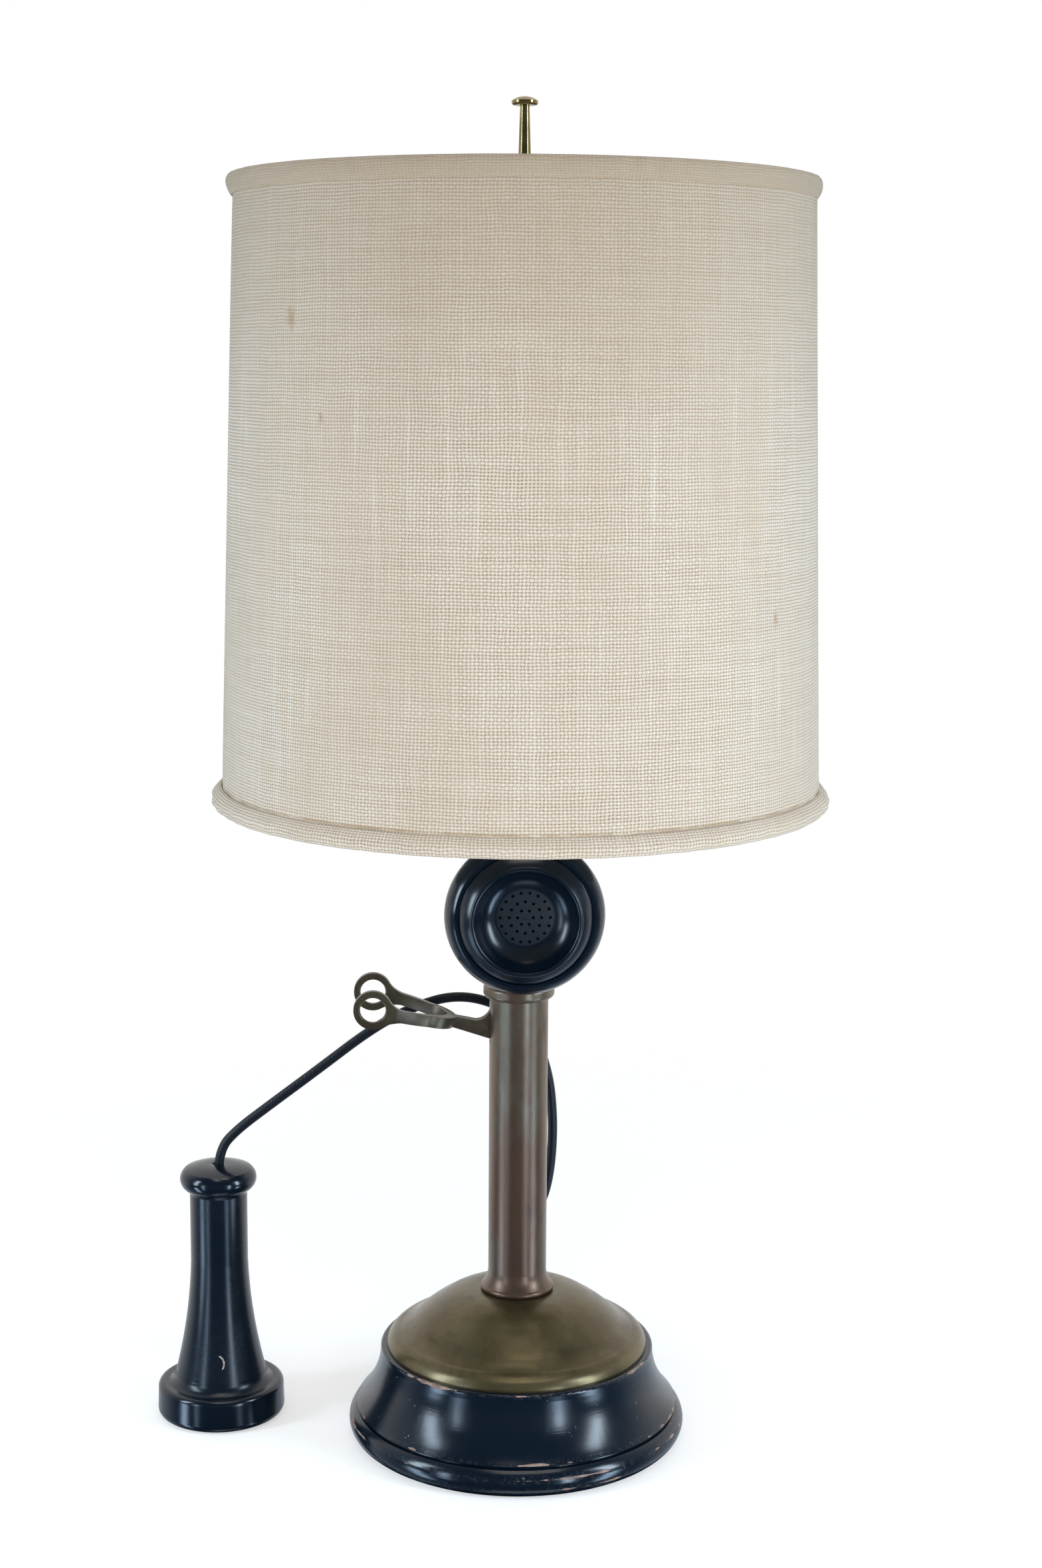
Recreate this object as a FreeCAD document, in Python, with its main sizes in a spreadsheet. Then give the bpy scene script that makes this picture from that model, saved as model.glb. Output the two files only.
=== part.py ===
import FreeCAD, Part
import math
import os
import re
import Sketcher

# Candlestick telephone made into a table lamp: a turned wooden base, a brass dome and column with a forked
# hook, a tilting transmitter, a receiver standing beside it on its cord, and a drum shade on a harp.
# Millimetres. Origin under the middle of the base, +Z up, the mouthpiece faces -Y and the hook points to -X.

SIZES = (
    # wooden base
    ("wood_height", 44.8, "wooden base, floor to its top"),
    ("wood_foot_radius", 79.0, "edge that it stands on"),
    ("wood_bead_radius", 82.9, "widest part of the base, on the bottom bead"),
    ("wood_bead_height", 13.2, "height of the bottom bead"),
    ("wood_bead_crown", 5.0, "height of the widest part"),
    ("wood_groove_depth", 1.1, "groove above the bead"),
    ("wood_groove_width", 1.8, "groove above the bead"),
    ("wood_ridge_radius", 79.4, "ridge over the groove, at the foot of the cove"),
    ("wood_cove_radius", 70.7, "middle of the cove"),
    ("wood_cove_height", 28.0, "height of the cove's middle"),
    ("wood_top_radius", 67.4, "top edge of the base"),
    ("wood_top_band", 3.6, "upright band under the top edge"),
    ("wood_edge_round", 1.4, "rounding of the top edge"),
    ("wood_recess_radius", 26.0, "recess under the base for the nut"),
    ("wood_recess_height", 20.0, "ceiling of that recess above the floor"),
    ("felt_radius", 73.0, "felt disc let into the underside"),
    ("felt_thickness", 1.5, "felt disc"),
    ("felt_clearance", 0.2, "felt disc to the edge of its recess"),
    # mains lead bushing
    ("bushing_height", 6.4, "mains bushing above the floor"),
    ("bushing_bore", 3.0, "radius of the hole for the lead"),
    ("bushing_body", 4.2, "radius of the bushing's barrel"),
    ("bushing_flange", 5.6, "radius of the bushing's flange"),
    ("bushing_flange_width", 1.6, "thickness of the flange"),
    ("bushing_length", 16.0, "barrel of the bushing"),
    ("bushing_sink", 1.6, "flat spot face for the flange, below the bead's crown"),
    # brass dome
    ("dome_radius", 64.3, "rim of the dome"),
    ("dome_height", 27.7, "rise from the wood to the column's seat"),
    ("dome_crown_radius", 38.7, "edge of the rounded crown"),
    ("dome_crown_height", 21.2, "height of that edge"),
    ("dome_waist_radius", 51.5, "foot of the sloping side"),
    ("dome_waist_height", 11.2, "height of that foot"),
    ("dome_skirt_radius", 57.6, "where the skirt turns down to the rim"),
    ("dome_skirt_height", 7.2, "height of that turn"),
    ("dome_rim_height", 0.9, "upright rim"),
    ("dome_wall", 1.2, "sheet of the dome"),
    ("dome_land", 18.8, "flat seat for the column"),
    ("dome_hole", 9.0, "hole under the column"),
    # column
    ("column_radius", 14.3, "outside of the column, 1 1/8 inch tube"),
    ("column_wall", 1.3, "wall of the column"),
    ("column_length", 148.7, "column without its cap"),
    ("foot_radius", 18.0, "flared foot"),
    ("foot_bead", 3.0, "height of the foot's rounded edge"),
    ("foot_flare", 10.5, "height where the flare meets the tube"),
    ("cap_radius", 17.3, "collar on top of the column"),
    ("cap_height", 6.0, "collar"),
    ("cap_round_low", 2.2, "lower edge of the collar"),
    ("cap_round_high", 1.6, "upper edge of the collar"),
    ("cap_plug", 4.5, "part of the cap inside the column"),
    ("plug_clearance", 0.05, "cap in the column"),
    # lamp pipe and nut
    ("pipe_radius", 5.0, "lamp pipe"),
    ("pipe_wall", 1.4, "lamp pipe"),
    ("pipe_clearance", 0.2, "pipe in the pieces it passes through"),
    ("pipe_below_nut", 3.0, "end of the pipe under the nut"),
    ("nut_width", 17.0, "nut across its flats"),
    ("nut_height", 5.0, "nut under the base"),
    ("thread_clearance", 0.05, "threaded fits"),
    ("washer_radius", 12.0, "washer over the nut"),
    ("washer_thickness", 2.0, "washer over the nut"),
    # hook
    ("hook_pivot_inset", 9.2, "pivot from the column's axis"),
    ("hook_drop", 25.0, "pivot below the collar's top"),
    ("hook_rise", 15.6, "slope of the hook at rest, degrees"),
    ("hook_reach", 63.9, "pivot to the middle of the rings"),
    ("hook_ring_radius", 9.3, "outside of a ring"),
    ("hook_ring_hole", 6.1, "hole of a ring"),
    ("hook_arm_height", 6.0, "height of an arm"),
    ("hook_arm_thickness", 3.4, "thickness of an arm"),
    ("hook_gap", 32.0, "clear width between the arms at the rings"),
    ("hook_crotch", 27.3, "pivot to the inside of the fork"),
    ("hook_stem_height", 6.8, "stem at the column"),
    ("hook_stem_thickness", 5.0, "stem"),
    ("hook_heel", 10.4, "heel above the pivot, which fills the slot"),
    ("hook_eye", 3.3, "eye on the pivot pin"),
    ("hook_edge_round", 0.8, "rounded edges of the arms and rings"),
    ("pin_radius", 1.5, "pivot pin"),
    ("running_clearance", 0.05, "pivot fits, on the radius"),
    ("slot_clearance", 0.4, "hook in the column's slot, each side"),
    ("slot_top", 12.7, "top of the slot above the pivot"),
    ("slot_bottom", 4.0, "bottom of the slot below the pivot"),
    ("bracket_wall", 1.2, "bracket that holds the pivot pin"),
    ("bracket_drop", 15.0, "foot of the bracket below the pivot"),
    ("bracket_wall_gap", 0.3, "bracket to the column's wall"),
    ("spring_thickness", 0.5, "leaf under the hook"),
    ("spring_gap", 0.5, "leaf to the hook at rest"),
    # transmitter
    ("tilt_height", 6.5, "tilt screw above the collar"),
    ("tilt_forward", 12.0, "tilt screw in front of the column's axis"),
    ("ear_radius", 4.5, "ears that hold the tilt screw"),
    ("ear_thickness", 3.0, "each ear"),
    ("lug_thickness", 5.5, "lug between the ears"),
    ("lug_clearance", 0.25, "lug to each ear"),
    ("screw_radius", 2.0, "tilt screw"),
    ("screw_head", 4.2, "head of the tilt screw and its nut"),
    ("screw_head_height", 2.4, "head of the tilt screw and its nut"),
    ("transmitter_height", 270.7, "axis of the mouthpiece above the floor"),
    ("transmitter_back", 23.0, "back of the cup in front of the column's axis"),
    ("cup_radius", 34.0, "cup behind the faceplate"),
    ("cup_depth", 20.0, "cup, back to rim"),
    ("cup_wall", 1.6, "wall of the cup"),
    ("cup_back_radius", 25.5, "flat back of the cup"),
    ("face_radius", 37.4, "rim of the faceplate"),
    ("face_front", 28.0, "front edge of the faceplate, from the cup's back"),
    ("face_skirt", 6.0, "part of the faceplate over the cup"),
    ("face_opening", 31.4, "opening of the faceplate"),
    ("mouth_flange_thickness", 2.4, "flange that the faceplate holds on the cup"),
    ("mouth_lip_radius", 26.3, "lip of the mouthpiece"),
    ("mouth_lip_front", 34.8, "lip, from the cup's back"),
    ("mouth_lip_round", 1.2, "half the thickness of the lip"),
    ("mouth_wall", 3.0, "wall of the mouthpiece"),
    ("grille_radius", 14.3, "perforated disc in the bowl"),
    ("grille_depth", 11.4, "disc below the lip"),
    ("grille_dome", 0.7, "rise of the disc at its middle"),
    ("grille_thickness", 2.2, "disc at its edge"),
    ("grille_hole", 0.75, "radius of one hole"),
    ("grille_ring_one", 3.65, "radius of the inner ring of holes"),
    ("grille_ring_two", 7.5, "radius of the middle ring of holes"),
    ("grille_ring_three", 11.7, "radius of the outer ring of holes"),
    ("diaphragm_thickness", 0.4, "transmitter's diaphragm"),
    ("button_radius", 11.0, "carbon button behind the diaphragm"),
    # receiver
    ("receiver_x", -148.2, "middle of the receiver, left of the column"),
    ("receiver_y", 26.0, "middle of the receiver, behind the column's axis"),
    ("ear_cap_radius", 31.7, "ear cap"),
    ("ear_cap_height", 16.7, "ear cap"),
    ("ear_cap_rim", 22.0, "inner edge of the rim that it stands on"),
    ("ear_dish_depth", 7.0, "dish of the ear cap"),
    ("ear_hole", 6.0, "hole in the middle of the dish"),
    ("ear_cap_floor", 2.6, "wall between the dish and the diaphragm"),
    ("shell_flange", 27.0, "foot of the receiver's shell inside the cap"),
    ("shell_bell", 22.4, "shell above its flared foot"),
    ("shell_flare", 26.0, "flared foot of the shell where it leaves the cap"),
    ("shell_bell_start", 22.0, "height where the flare has become the bell"),
    ("shell_neck", 14.25, "neck of the shell"),
    ("shell_neck_start", 80.0, "height where the bell has become the neck"),
    ("shell_top", 115.0, "top of the shell"),
    ("shell_wall", 2.9, "wall of the shell"),
    ("tail_radius", 19.0, "knob on the tail"),
    ("tail_height", 14.4, "knob on the tail"),
    ("tail_plug", 11.0, "part of the tail inside the shell"),
    ("plate_thickness", 0.3, "receiver's diaphragm"),
    ("magnet_leg", 4.5, "legs of the horseshoe magnet"),
    ("magnet_depth", 7.0, "magnet, front to back"),
    ("coil_height", 11.0, "coils under the magnet's poles"),
    ("coil_gap", 0.4, "coils to the diaphragm"),
    # receiver cord
    ("cord_radius", 2.4, "cord"),
    ("cord_exit_height", 91.0, "bushing in the back of the column"),
    ("cord_clearance", 0.1, "cord in its bushing"),
    ("tail_clearance", 0.4, "cord in the receiver's tail"),
    ("grommet_flange", 4.8, "column bushing's flange"),
    ("grommet_flange_width", 1.7, "column bushing's flange"),
    ("grommet_body", 3.5, "column bushing's barrel"),
    ("grommet_length", 4.0, "column bushing's barrel"),
    # lamp fittings
    ("sleeve_radius", 7.0, "neck sleeve around the pipe"),
    ("sleeve_length", 91.0, "neck sleeve"),
    ("saddle_thickness", 2.0, "harp saddle"),
    ("saddle_width", 12.0, "harp saddle, front to back"),
    ("saddle_spread", 21.0, "saddle's arms from the axis"),
    ("saddle_height", 27.0, "saddle's arms"),
    ("harp_wire", 1.9, "radius of the harp's wire and of the saddle's studs"),
    ("harp_stud", 7.0, "studs on the saddle"),
    ("harp_sleeve_wall", 1.2, "locking sleeves"),
    ("harp_sleeve_length", 15.0, "locking sleeves"),
    ("harp_sleeve_travel", 8.0, "lift that frees the harp from the studs"),
    ("harp_sleeve_gap", 0.3, "sleeve over the saddle's arm"),
    ("harp_spread", 52.0, "half the width of the harp"),
    ("harp_bow_share", 0.26, "where the harp bows out, as a share of its height"),
    ("harp_widest_share", 0.562, "widest place, as a share of its height"),
    ("harp_shoulder_share", 0.909, "where the harp turns in, as a share of its height"),
    ("harp_height", 242.0, "harp above the studs"),
    ("harp_plate_radius", 9.0, "plate on top of the harp"),
    ("harp_plate_thickness", 3.0, "plate on top of the harp"),
    ("finial_stud_radius", 3.0, "threaded stud on the harp"),
    ("finial_stud_length", 12.0, "threaded stud on the harp"),
    ("socket_hub", 8.0, "hub of the socket's cap"),
    ("socket_hub_height", 6.0, "hub of the socket's cap"),
    ("socket_cap_height", 21.0, "socket's cap"),
    ("socket_radius", 18.6, "socket's cap at its rim"),
    ("socket_lap", 3.0, "shell inside the cap's rim"),
    ("socket_wall", 0.8, "brass of the socket"),
    ("socket_shell_length", 45.0, "socket's shell"),
    ("insulator_wall", 0.8, "paper liner of the socket"),
    ("socket_core_height", 22.0, "insulating body with the switch"),
    ("screw_shell_radius", 13.6, "inside of the screw shell"),
    ("key_height", 13.0, "switch key above the shell's lower edge"),
    ("key_radius", 2.3, "shaft of the switch key"),
    ("key_reach", 31.0, "shaft of the switch key from the axis"),
    ("key_paddle", 7.5, "half the width of the key's paddle"),
    ("key_thickness", 3.0, "paddle"),
    ("bulb_radius", 30.0, "bulb"),
    ("bulb_height", 84.0, "bulb's glass above its base"),
    ("bulb_wall", 0.8, "bulb's glass"),
    ("bulb_base_radius", 13.0, "bulb's screw base"),
    ("bulb_base_height", 23.0, "bulb's screw base"),
    # shade
    ("shade_bottom", 318.0, "lower edge of the shade above the floor"),
    ("shade_height", 289.0, "shade"),
    ("shade_bottom_radius", 142.1, "cloth at the lower edge"),
    ("shade_top_radius", 133.1, "cloth at the upper edge"),
    ("cover_thickness", 1.0, "cloth"),
    ("liner_thickness", 0.6, "stiff liner"),
    ("trim_height", 9.4, "folded band along each edge"),
    ("trim_proud", 5.1, "lower band beyond the cloth"),
    ("trim_proud_top", 3.4, "upper band beyond the cloth"),
    ("trim_fold", 1.2, "cloth folded over the edge"),
    ("wire_radius", 1.5, "wire rings and spider"),
    ("wire_seat", 0.1, "wire ring to the liner and the fold"),
    ("hub_radius", 12.0, "spider's hub"),
    ("hub_thickness", 2.5, "spider's hub"),
    ("hub_gap", 0.3, "hub between the harp's plate and the finial"),
    ("spider_bend", 22.0, "where the spider's arms turn up, inside the ring"),
    # finial
    ("finial_base_radius", 7.0, "foot of the finial"),
    ("finial_base_height", 5.0, "foot of the finial"),
    ("finial_stem_low", 3.2, "stem at its foot"),
    ("finial_stem_high", 2.2, "stem under its cap"),
    ("finial_top", 643.8, "top of the finial above the floor"),
    ("finial_cap_radius", 6.1, "mushroom cap"),
    ("finial_cap_height", 4.1, "mushroom cap"),
)

# Heights above the floor that several pieces share
COLLAR_TOP = "wood_height + dome_height + column_length + cap_height"
HOOK_Z = f"{COLLAR_TOP} - hook_drop"
TILT_Z = f"{COLLAR_TOP} + tilt_height"
SADDLE_Z = f"{COLLAR_TOP} + sleeve_length"
SOCKET_Z = f"{SADDLE_Z} + saddle_thickness"
STUD_Z = f"{SADDLE_Z} + saddle_height"
SHELL_Z = f"{SOCKET_Z} + socket_cap_height - socket_lap"
BULB_Z = f"{SHELL_Z} + socket_shell_length"
HARP_TOP = f"{STUD_Z} + harp_height"
HUB_Z = f"{HARP_TOP} + hub_gap"
FINIAL_Z = f"{HUB_Z} + hub_thickness + hub_gap"

NAMES = {name for name, amount, note in SIZES}
QUARTER = 1 - math.sqrt(0.5)
FACING_FRONT = FreeCAD.Rotation(FreeCAD.Vector(1, 0, 0), 90)
FACING_BACK = FreeCAD.Rotation(FreeCAD.Vector(1, 0, 0), -90)
UPRIGHT = FreeCAD.Rotation()

doc = FreeCAD.newDocument("telephone_lamp")
dims = doc.addObject("Spreadsheet::Sheet", "dims")
for row, (name, amount, note) in enumerate(SIZES, 1):
    dims.set(f"A{row}", name)
    dims.set(f"B{row}", str(amount))
    dims.set(f"C{row}", note)
    dims.setAlias(f"B{row}", name)
doc.recompute()

pieces = []


def tie(text):
    """The expression with every size's name pointing at its cell."""
    return re.sub(r"[a-z_]+", lambda word: f"dims.{word[0]}" if word[0] in NAMES else word[0], text)


def value(text):
    """What an expression of sizes comes to now."""
    return float(dims.evalExpression(text))


# Steps of an outline: straight to a point, straight to a rounded corner between an upright and a level run,
# an arc through a point, and an arc that goes on smoothly from the step before.
def to(x, y):
    return ("to", x, y)


def corner(x, y, radius):
    return ("corner", x, y, radius)


def bow(mid_x, mid_y, x, y):
    return ("bow", mid_x, mid_y, x, y)


def flow(x, y):
    return ("flow", x, y)


def crown(radius, rise, top):
    """Arc that rises from a radius to the axis and is level there."""
    ball = f"(({radius}) ^ 2 + ({rise}) ^ 2) / (2 * ({rise}))"
    middle = f"{top} - {ball} + sqrt(({ball}) ^ 2 - ({radius}) ^ 2 / 4)"
    return bow(f"({radius}) / 2", middle, "0", top)


def end_of(step):
    x, y = step[3:5] if step[0] == "bow" else step[1:3]
    return FreeCAD.Vector(value(x), value(y), 0)


def heading(step, following):
    run = end_of(following) - end_of(step)
    if abs(run.x) > abs(run.y):
        return int(math.copysign(1, run.x)), 0
    return 0, int(math.copysign(1, run.y))


def with_corners_rounded(steps):
    plain = []
    for place, step in enumerate(steps):
        if step[0] != "corner":
            plain.append(step)
            continue
        x, y, radius = step[1:]
        into = heading(steps[place - 1], step)
        out = heading(step, steps[(place + 1) % len(steps)])
        bulge = [(b - a) * QUARTER for a, b in zip(into, out)]
        plain.append(to(f"{x} - ({radius}) * {into[0]}", f"{y} - ({radius}) * {into[1]}"))
        plain.append(bow(f"{x} + ({radius}) * {bulge[0]}", f"{y} + ({radius}) * {bulge[1]}",
                         f"{x} + ({radius}) * {out[0]}", f"{y} + ({radius}) * {out[1]}"))
    return plain


def smooth_middle(start, along, end):
    """Middle of the arc from start to end that leaves start in the direction along."""
    chord = end - start
    side = FreeCAD.Vector(-along.y, along.x, 0)
    radius = chord.dot(chord) / (2 * side.dot(chord))
    centre = start + side * radius
    outward = (start + end) * 0.5 - centre
    return centre + outward.normalize() * abs(radius)


def arrival(start, middle, end):
    """Direction in which a line, or an arc through a middle point, arrives at its end."""
    chord = (end - start).normalize()
    if middle is None:
        return chord
    last = (end - middle).normalize()
    bend = 2 * math.atan2(chord.cross(last).z, chord.dot(last))
    return FreeCAD.Rotation(FreeCAD.Vector(0, 0, 1), math.degrees(bend)).multVec(chord)


def draw(sketch, steps, closed=True):
    """Draw an outline whose every corner is tied to the sheet."""
    steps = with_corners_rounded(steps)
    start = end_of(steps[0])
    rounds = steps[1:]
    if closed and (end_of(rounds[-1]) - start).Length > 1e-6:
        rounds = rounds + [to(*steps[0][1:])]
    rules = []
    ties = []
    drawn = []

    def pin(shape, spot, x, y):
        for kind, axis, text in (("DistanceX", -2, x), ("DistanceY", -1, y)):
            if abs(value(text)) < 1e-9:
                rules.append(Sketcher.Constraint("PointOnObject", shape, spot, axis))
                continue
            ties.append((len(rules), text))
            rules.append(Sketcher.Constraint(kind, -1, 1, shape, spot, value(text)))

    along = None
    for step in rounds:
        end = end_of(step)
        middle = None
        if step[0] == "bow":
            middle = FreeCAD.Vector(value(step[1]), value(step[2]), 0)
        elif step[0] == "flow":
            middle = smooth_middle(start, along, end)
        first = 1
        if middle is None:
            shape = sketch.addGeometry(Part.LineSegment(start, end), False)
        elif (middle - start).cross(end - middle).z > 0:
            shape = sketch.addGeometry(Part.Arc(start, middle, end), False)
        else:
            first = 2
            shape = sketch.addGeometry(Part.Arc(end, middle, start), False)
        if drawn:
            joint = "Tangent" if step[0] == "flow" else "Coincident"
            rules.append(Sketcher.Constraint(joint, drawn[-1][0], drawn[-1][2], shape, first))
        drawn.append((shape, first, 3 - first))
        if step[0] == "bow":
            spot = sketch.addGeometry(Part.Point(middle), True)
            pin(spot, 1, step[1], step[2])
            rules.append(Sketcher.Constraint("PointOnObject", spot, 1, shape))
        if not (closed and step is rounds[-1]):
            pin(shape, 3 - first, *step[-2:])
        along = arrival(start, middle, end)
        start = end
    pin(drawn[0][0], drawn[0][1], *steps[0][1:])
    if closed:
        rules.append(Sketcher.Constraint("Coincident", drawn[-1][0], drawn[-1][2], drawn[0][0], drawn[0][1]))
    sketch.addConstraint(rules)
    for number, text in ties:
        sketch.setExpression(f"Constraints[{number}]", tie(text))


def draw_circle(sketch, x, y, radius):
    centre = FreeCAD.Vector(value(x), value(y), 0)
    ring = sketch.addGeometry(Part.Circle(centre, FreeCAD.Vector(0, 0, 1), value(radius)), False)
    size = sketch.addConstraint(Sketcher.Constraint("Radius", ring, value(radius)))
    sketch.setExpression(f"Constraints[{size}]", tie(radius))
    for kind, axis, text in (("DistanceX", -2, x), ("DistanceY", -1, y)):
        if abs(value(text)) < 1e-9:
            sketch.addConstraint(Sketcher.Constraint("PointOnObject", ring, 3, axis))
            continue
        rule = sketch.addConstraint(Sketcher.Constraint(kind, -1, 1, ring, 3, value(text)))
        sketch.setExpression(f"Constraints[{rule}]", tie(text))


def origin_plane(body, role):
    return next(plane for plane in body.Origin.OriginFeatures if plane.Role == role)


def sketch_on(body, role, lift="0"):
    sketch = body.newObject("Sketcher::SketchObject", f"{body.Name}_sketch")
    sketch.AttachmentSupport = [(origin_plane(body, role), "")]
    sketch.MapMode = "FlatFace"
    if lift != "0":
        sketch.setExpression("AttachmentOffset.Base.z", tie(lift))
    return sketch


def new_body(label, x="0", y="0", z="0", turned=UPRIGHT, kept=True):
    body = doc.addObject("PartDesign::Body", label)
    body.Label = label
    body.Placement = FreeCAD.Placement(FreeCAD.Vector(), turned)
    seat(body, x, y, z)
    if kept:
        pieces.append(body)
    return body


def seat(piece, x, y, z):
    for axis, text in zip("xyz", (x, y, z)):
        piece.setExpression(f"Placement.Base.{axis}", tie(text))


def turn(body, steps):
    """Solid of revolution about the body's own Z, from an outline in radius and height."""
    sketch = sketch_on(body, "XZ_Plane")
    draw(sketch, steps)
    feature = body.newObject("PartDesign::Revolution", f"{body.Name}_turn")
    feature.Profile = sketch
    feature.ReferenceAxis = (sketch, ["V_Axis"])
    feature.Angle = 360
    return feature


def extrude(body, kind, sketch, length, centred=True, reverse=False):
    feature = body.newObject(f"PartDesign::{kind}", f"{body.Name}_{kind.lower()}")
    feature.Profile = sketch
    feature.Midplane = centred
    feature.Reversed = reverse
    feature.setExpression("Length", tie(length))
    return feature


def pad(body, role, steps, length, centred=True, lift="0"):
    sketch = sketch_on(body, role, lift)
    draw(sketch, steps)
    return extrude(body, "Pad", sketch, length, centred)


def cut(body, role, steps, length, centred=True):
    sketch = sketch_on(body, role)
    draw(sketch, steps)
    return extrude(body, "Pocket", sketch, length, centred)


def drill(body, role, x, y, radius, length, centred=True, lift="0"):
    sketch = sketch_on(body, role, lift)
    draw_circle(sketch, x, y, radius)
    return extrude(body, "Pocket", sketch, length, centred)


def around(body, feature, count):
    pattern = body.newObject("PartDesign::PolarPattern", f"{body.Name}_ring")
    pattern.Originals = [feature]
    pattern.Axis = (feature.Profile[0], ["N_Axis"])
    pattern.Angle = 360
    pattern.Occurrences = count
    body.Tip = pattern
    return pattern


def bent_wire(body, path_steps, radius):
    """Round wire along an open outline in the XZ plane that starts upwards."""
    path = sketch_on(body, "XZ_Plane")
    draw(path, path_steps, closed=False)
    section = sketch_on(body, "XY_Plane", path_steps[0][2])
    draw_circle(section, path_steps[0][1], "0", radius)
    wire = body.newObject("PartDesign::AdditivePipe", f"{body.Name}_wire")
    wire.Profile = section
    wire.Spine = (path, [])
    return wire


def tube(label, inner, outer, length, **seat_at):
    body = new_body(label, **seat_at)
    turn(body, [to(inner, "0"), to(outer, "0"), to(outer, length), to(inner, length)])
    return body


# Base
def make_base_felt():
    body = new_body("base_felt")
    rim = "felt_radius - felt_clearance"
    turn(body, [to("0", "0"), to(rim, "0"), to(rim, "felt_thickness"), to("0", "felt_thickness")])


def make_wood_base():
    body = new_body("wood_base")
    hole = "pipe_radius + pipe_clearance"
    groove = "wood_ridge_radius - wood_groove_depth"
    groove_top = "wood_bead_height + wood_groove_width"
    turn(body, [
        to(hole, "wood_height"),
        corner("wood_top_radius", "wood_height", "wood_edge_round"),
        to("wood_top_radius", "wood_height - wood_top_band"),
        bow("wood_cove_radius", "wood_cove_height", "wood_ridge_radius", groove_top),
        to(groove, f"{groove_top} - 0.3 * wood_groove_width"),
        to(groove, "wood_bead_height + 0.2 * wood_groove_width"),
        to("wood_ridge_radius + 0.3", "wood_bead_height"),
        bow("wood_bead_radius", "wood_bead_crown", "wood_foot_radius", "0"),
        to("felt_radius", "0"),
        to("felt_radius", "felt_thickness"),
        to("wood_recess_radius", "felt_thickness"),
        to("wood_recess_radius", "wood_recess_height"),
        to(hole, "wood_recess_height"),
    ])
    drill(body, "XZ_Plane", "0", "bushing_height", "bushing_body", "wood_bead_radius + 1", centred=False)
    spot = sketch_on(body, "XZ_Plane", "-(wood_bead_radius - bushing_sink)")
    draw_circle(spot, "0", "bushing_height", "bushing_flange + felt_clearance")
    extrude(body, "Pocket", spot, "bushing_sink + 1", centred=False)


def make_mains_cord_bushing():
    body = new_body("mains_cord_bushing", y="wood_bead_radius - bushing_sink - bushing_length",
                    z="bushing_height", turned=FACING_BACK)
    full = "bushing_length + bushing_flange_width"
    turn(body, [
        to("bushing_bore", "0"),
        to("bushing_body", "0"),
        to("bushing_body", "bushing_length"),
        to("bushing_flange", "bushing_length"),
        corner("bushing_flange", full, "bushing_flange_width / 2"),
        to("bushing_bore", full),
    ])


def make_base_dome():
    body = new_body("base_dome", z="wood_height")
    inner_top = "dome_height - dome_wall"
    in_r = "0.62 * dome_wall"
    in_z = "0.79 * dome_wall"
    turn(body, [
        to("dome_hole", "dome_height"),
        to("dome_land", "dome_height"),
        flow("dome_crown_radius", "dome_crown_height"),
        bow("0.5 * (dome_crown_radius + dome_waist_radius) + 0.3",
            "0.5 * (dome_crown_height + dome_waist_height) + 0.4",
            "dome_waist_radius", "dome_waist_height"),
        bow("0.5 * (dome_waist_radius + dome_skirt_radius) - 0.15",
            "0.5 * (dome_waist_height + dome_skirt_height) - 0.25", "dome_skirt_radius", "dome_skirt_height"),
        bow("0.5 * (dome_skirt_radius + dome_radius) + 0.9",
            "0.5 * (dome_skirt_height + dome_rim_height) + 0.9",
            "dome_radius", "dome_rim_height"),
        to("dome_radius", "0"),
        to("dome_radius - dome_wall", "0"),
        to("dome_radius - dome_wall", "dome_rim_height"),
        to(f"dome_skirt_radius - {in_r}", f"dome_skirt_height - {in_z}"),
        to(f"dome_waist_radius - {in_r}", f"dome_waist_height - {in_z}"),
        to(f"dome_crown_radius - {in_r}", f"dome_crown_height - {in_z}"),
        bow("0.5 * (dome_land + dome_crown_radius)",
            "dome_crown_height + 0.745 * (dome_height - dome_crown_height) - dome_wall",
            "dome_land", inner_top),
        to("dome_hole", inner_top),
    ])


# Column and what runs up through it
def make_column_tube():
    body = new_body("column_tube", z="wood_height + dome_height")
    bore = "column_radius - column_wall"
    edge = "foot_radius - 0.35 * foot_bead"
    turn(body, [
        to(bore, "0"),
        to(edge, "0"),
        bow("foot_radius", "foot_bead / 2", edge, "foot_bead"),
        bow("column_radius + 0.27 * (foot_radius - column_radius)",
            "foot_bead + 0.38 * (foot_flare - foot_bead)", "column_radius", "foot_flare"),
        to("column_radius", "column_length"),
        to(bore, "column_length"),
    ])
    pivot = "column_length + cap_height - hook_drop"
    half = "hook_stem_thickness / 2 + slot_clearance"
    cut(body, "YZ_Plane", [
        to(f"-({half})", f"{pivot} - slot_bottom"),
        to(half, f"{pivot} - slot_bottom"),
        to(half, f"{pivot} + slot_top"),
        to(f"-({half})", f"{pivot} + slot_top"),
    ], "column_radius + 1", centred=False)
    drill(body, "XZ_Plane", "0", "cord_exit_height - wood_height - dome_height", "grommet_body",
          "column_radius + 1", centred=False)


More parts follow.
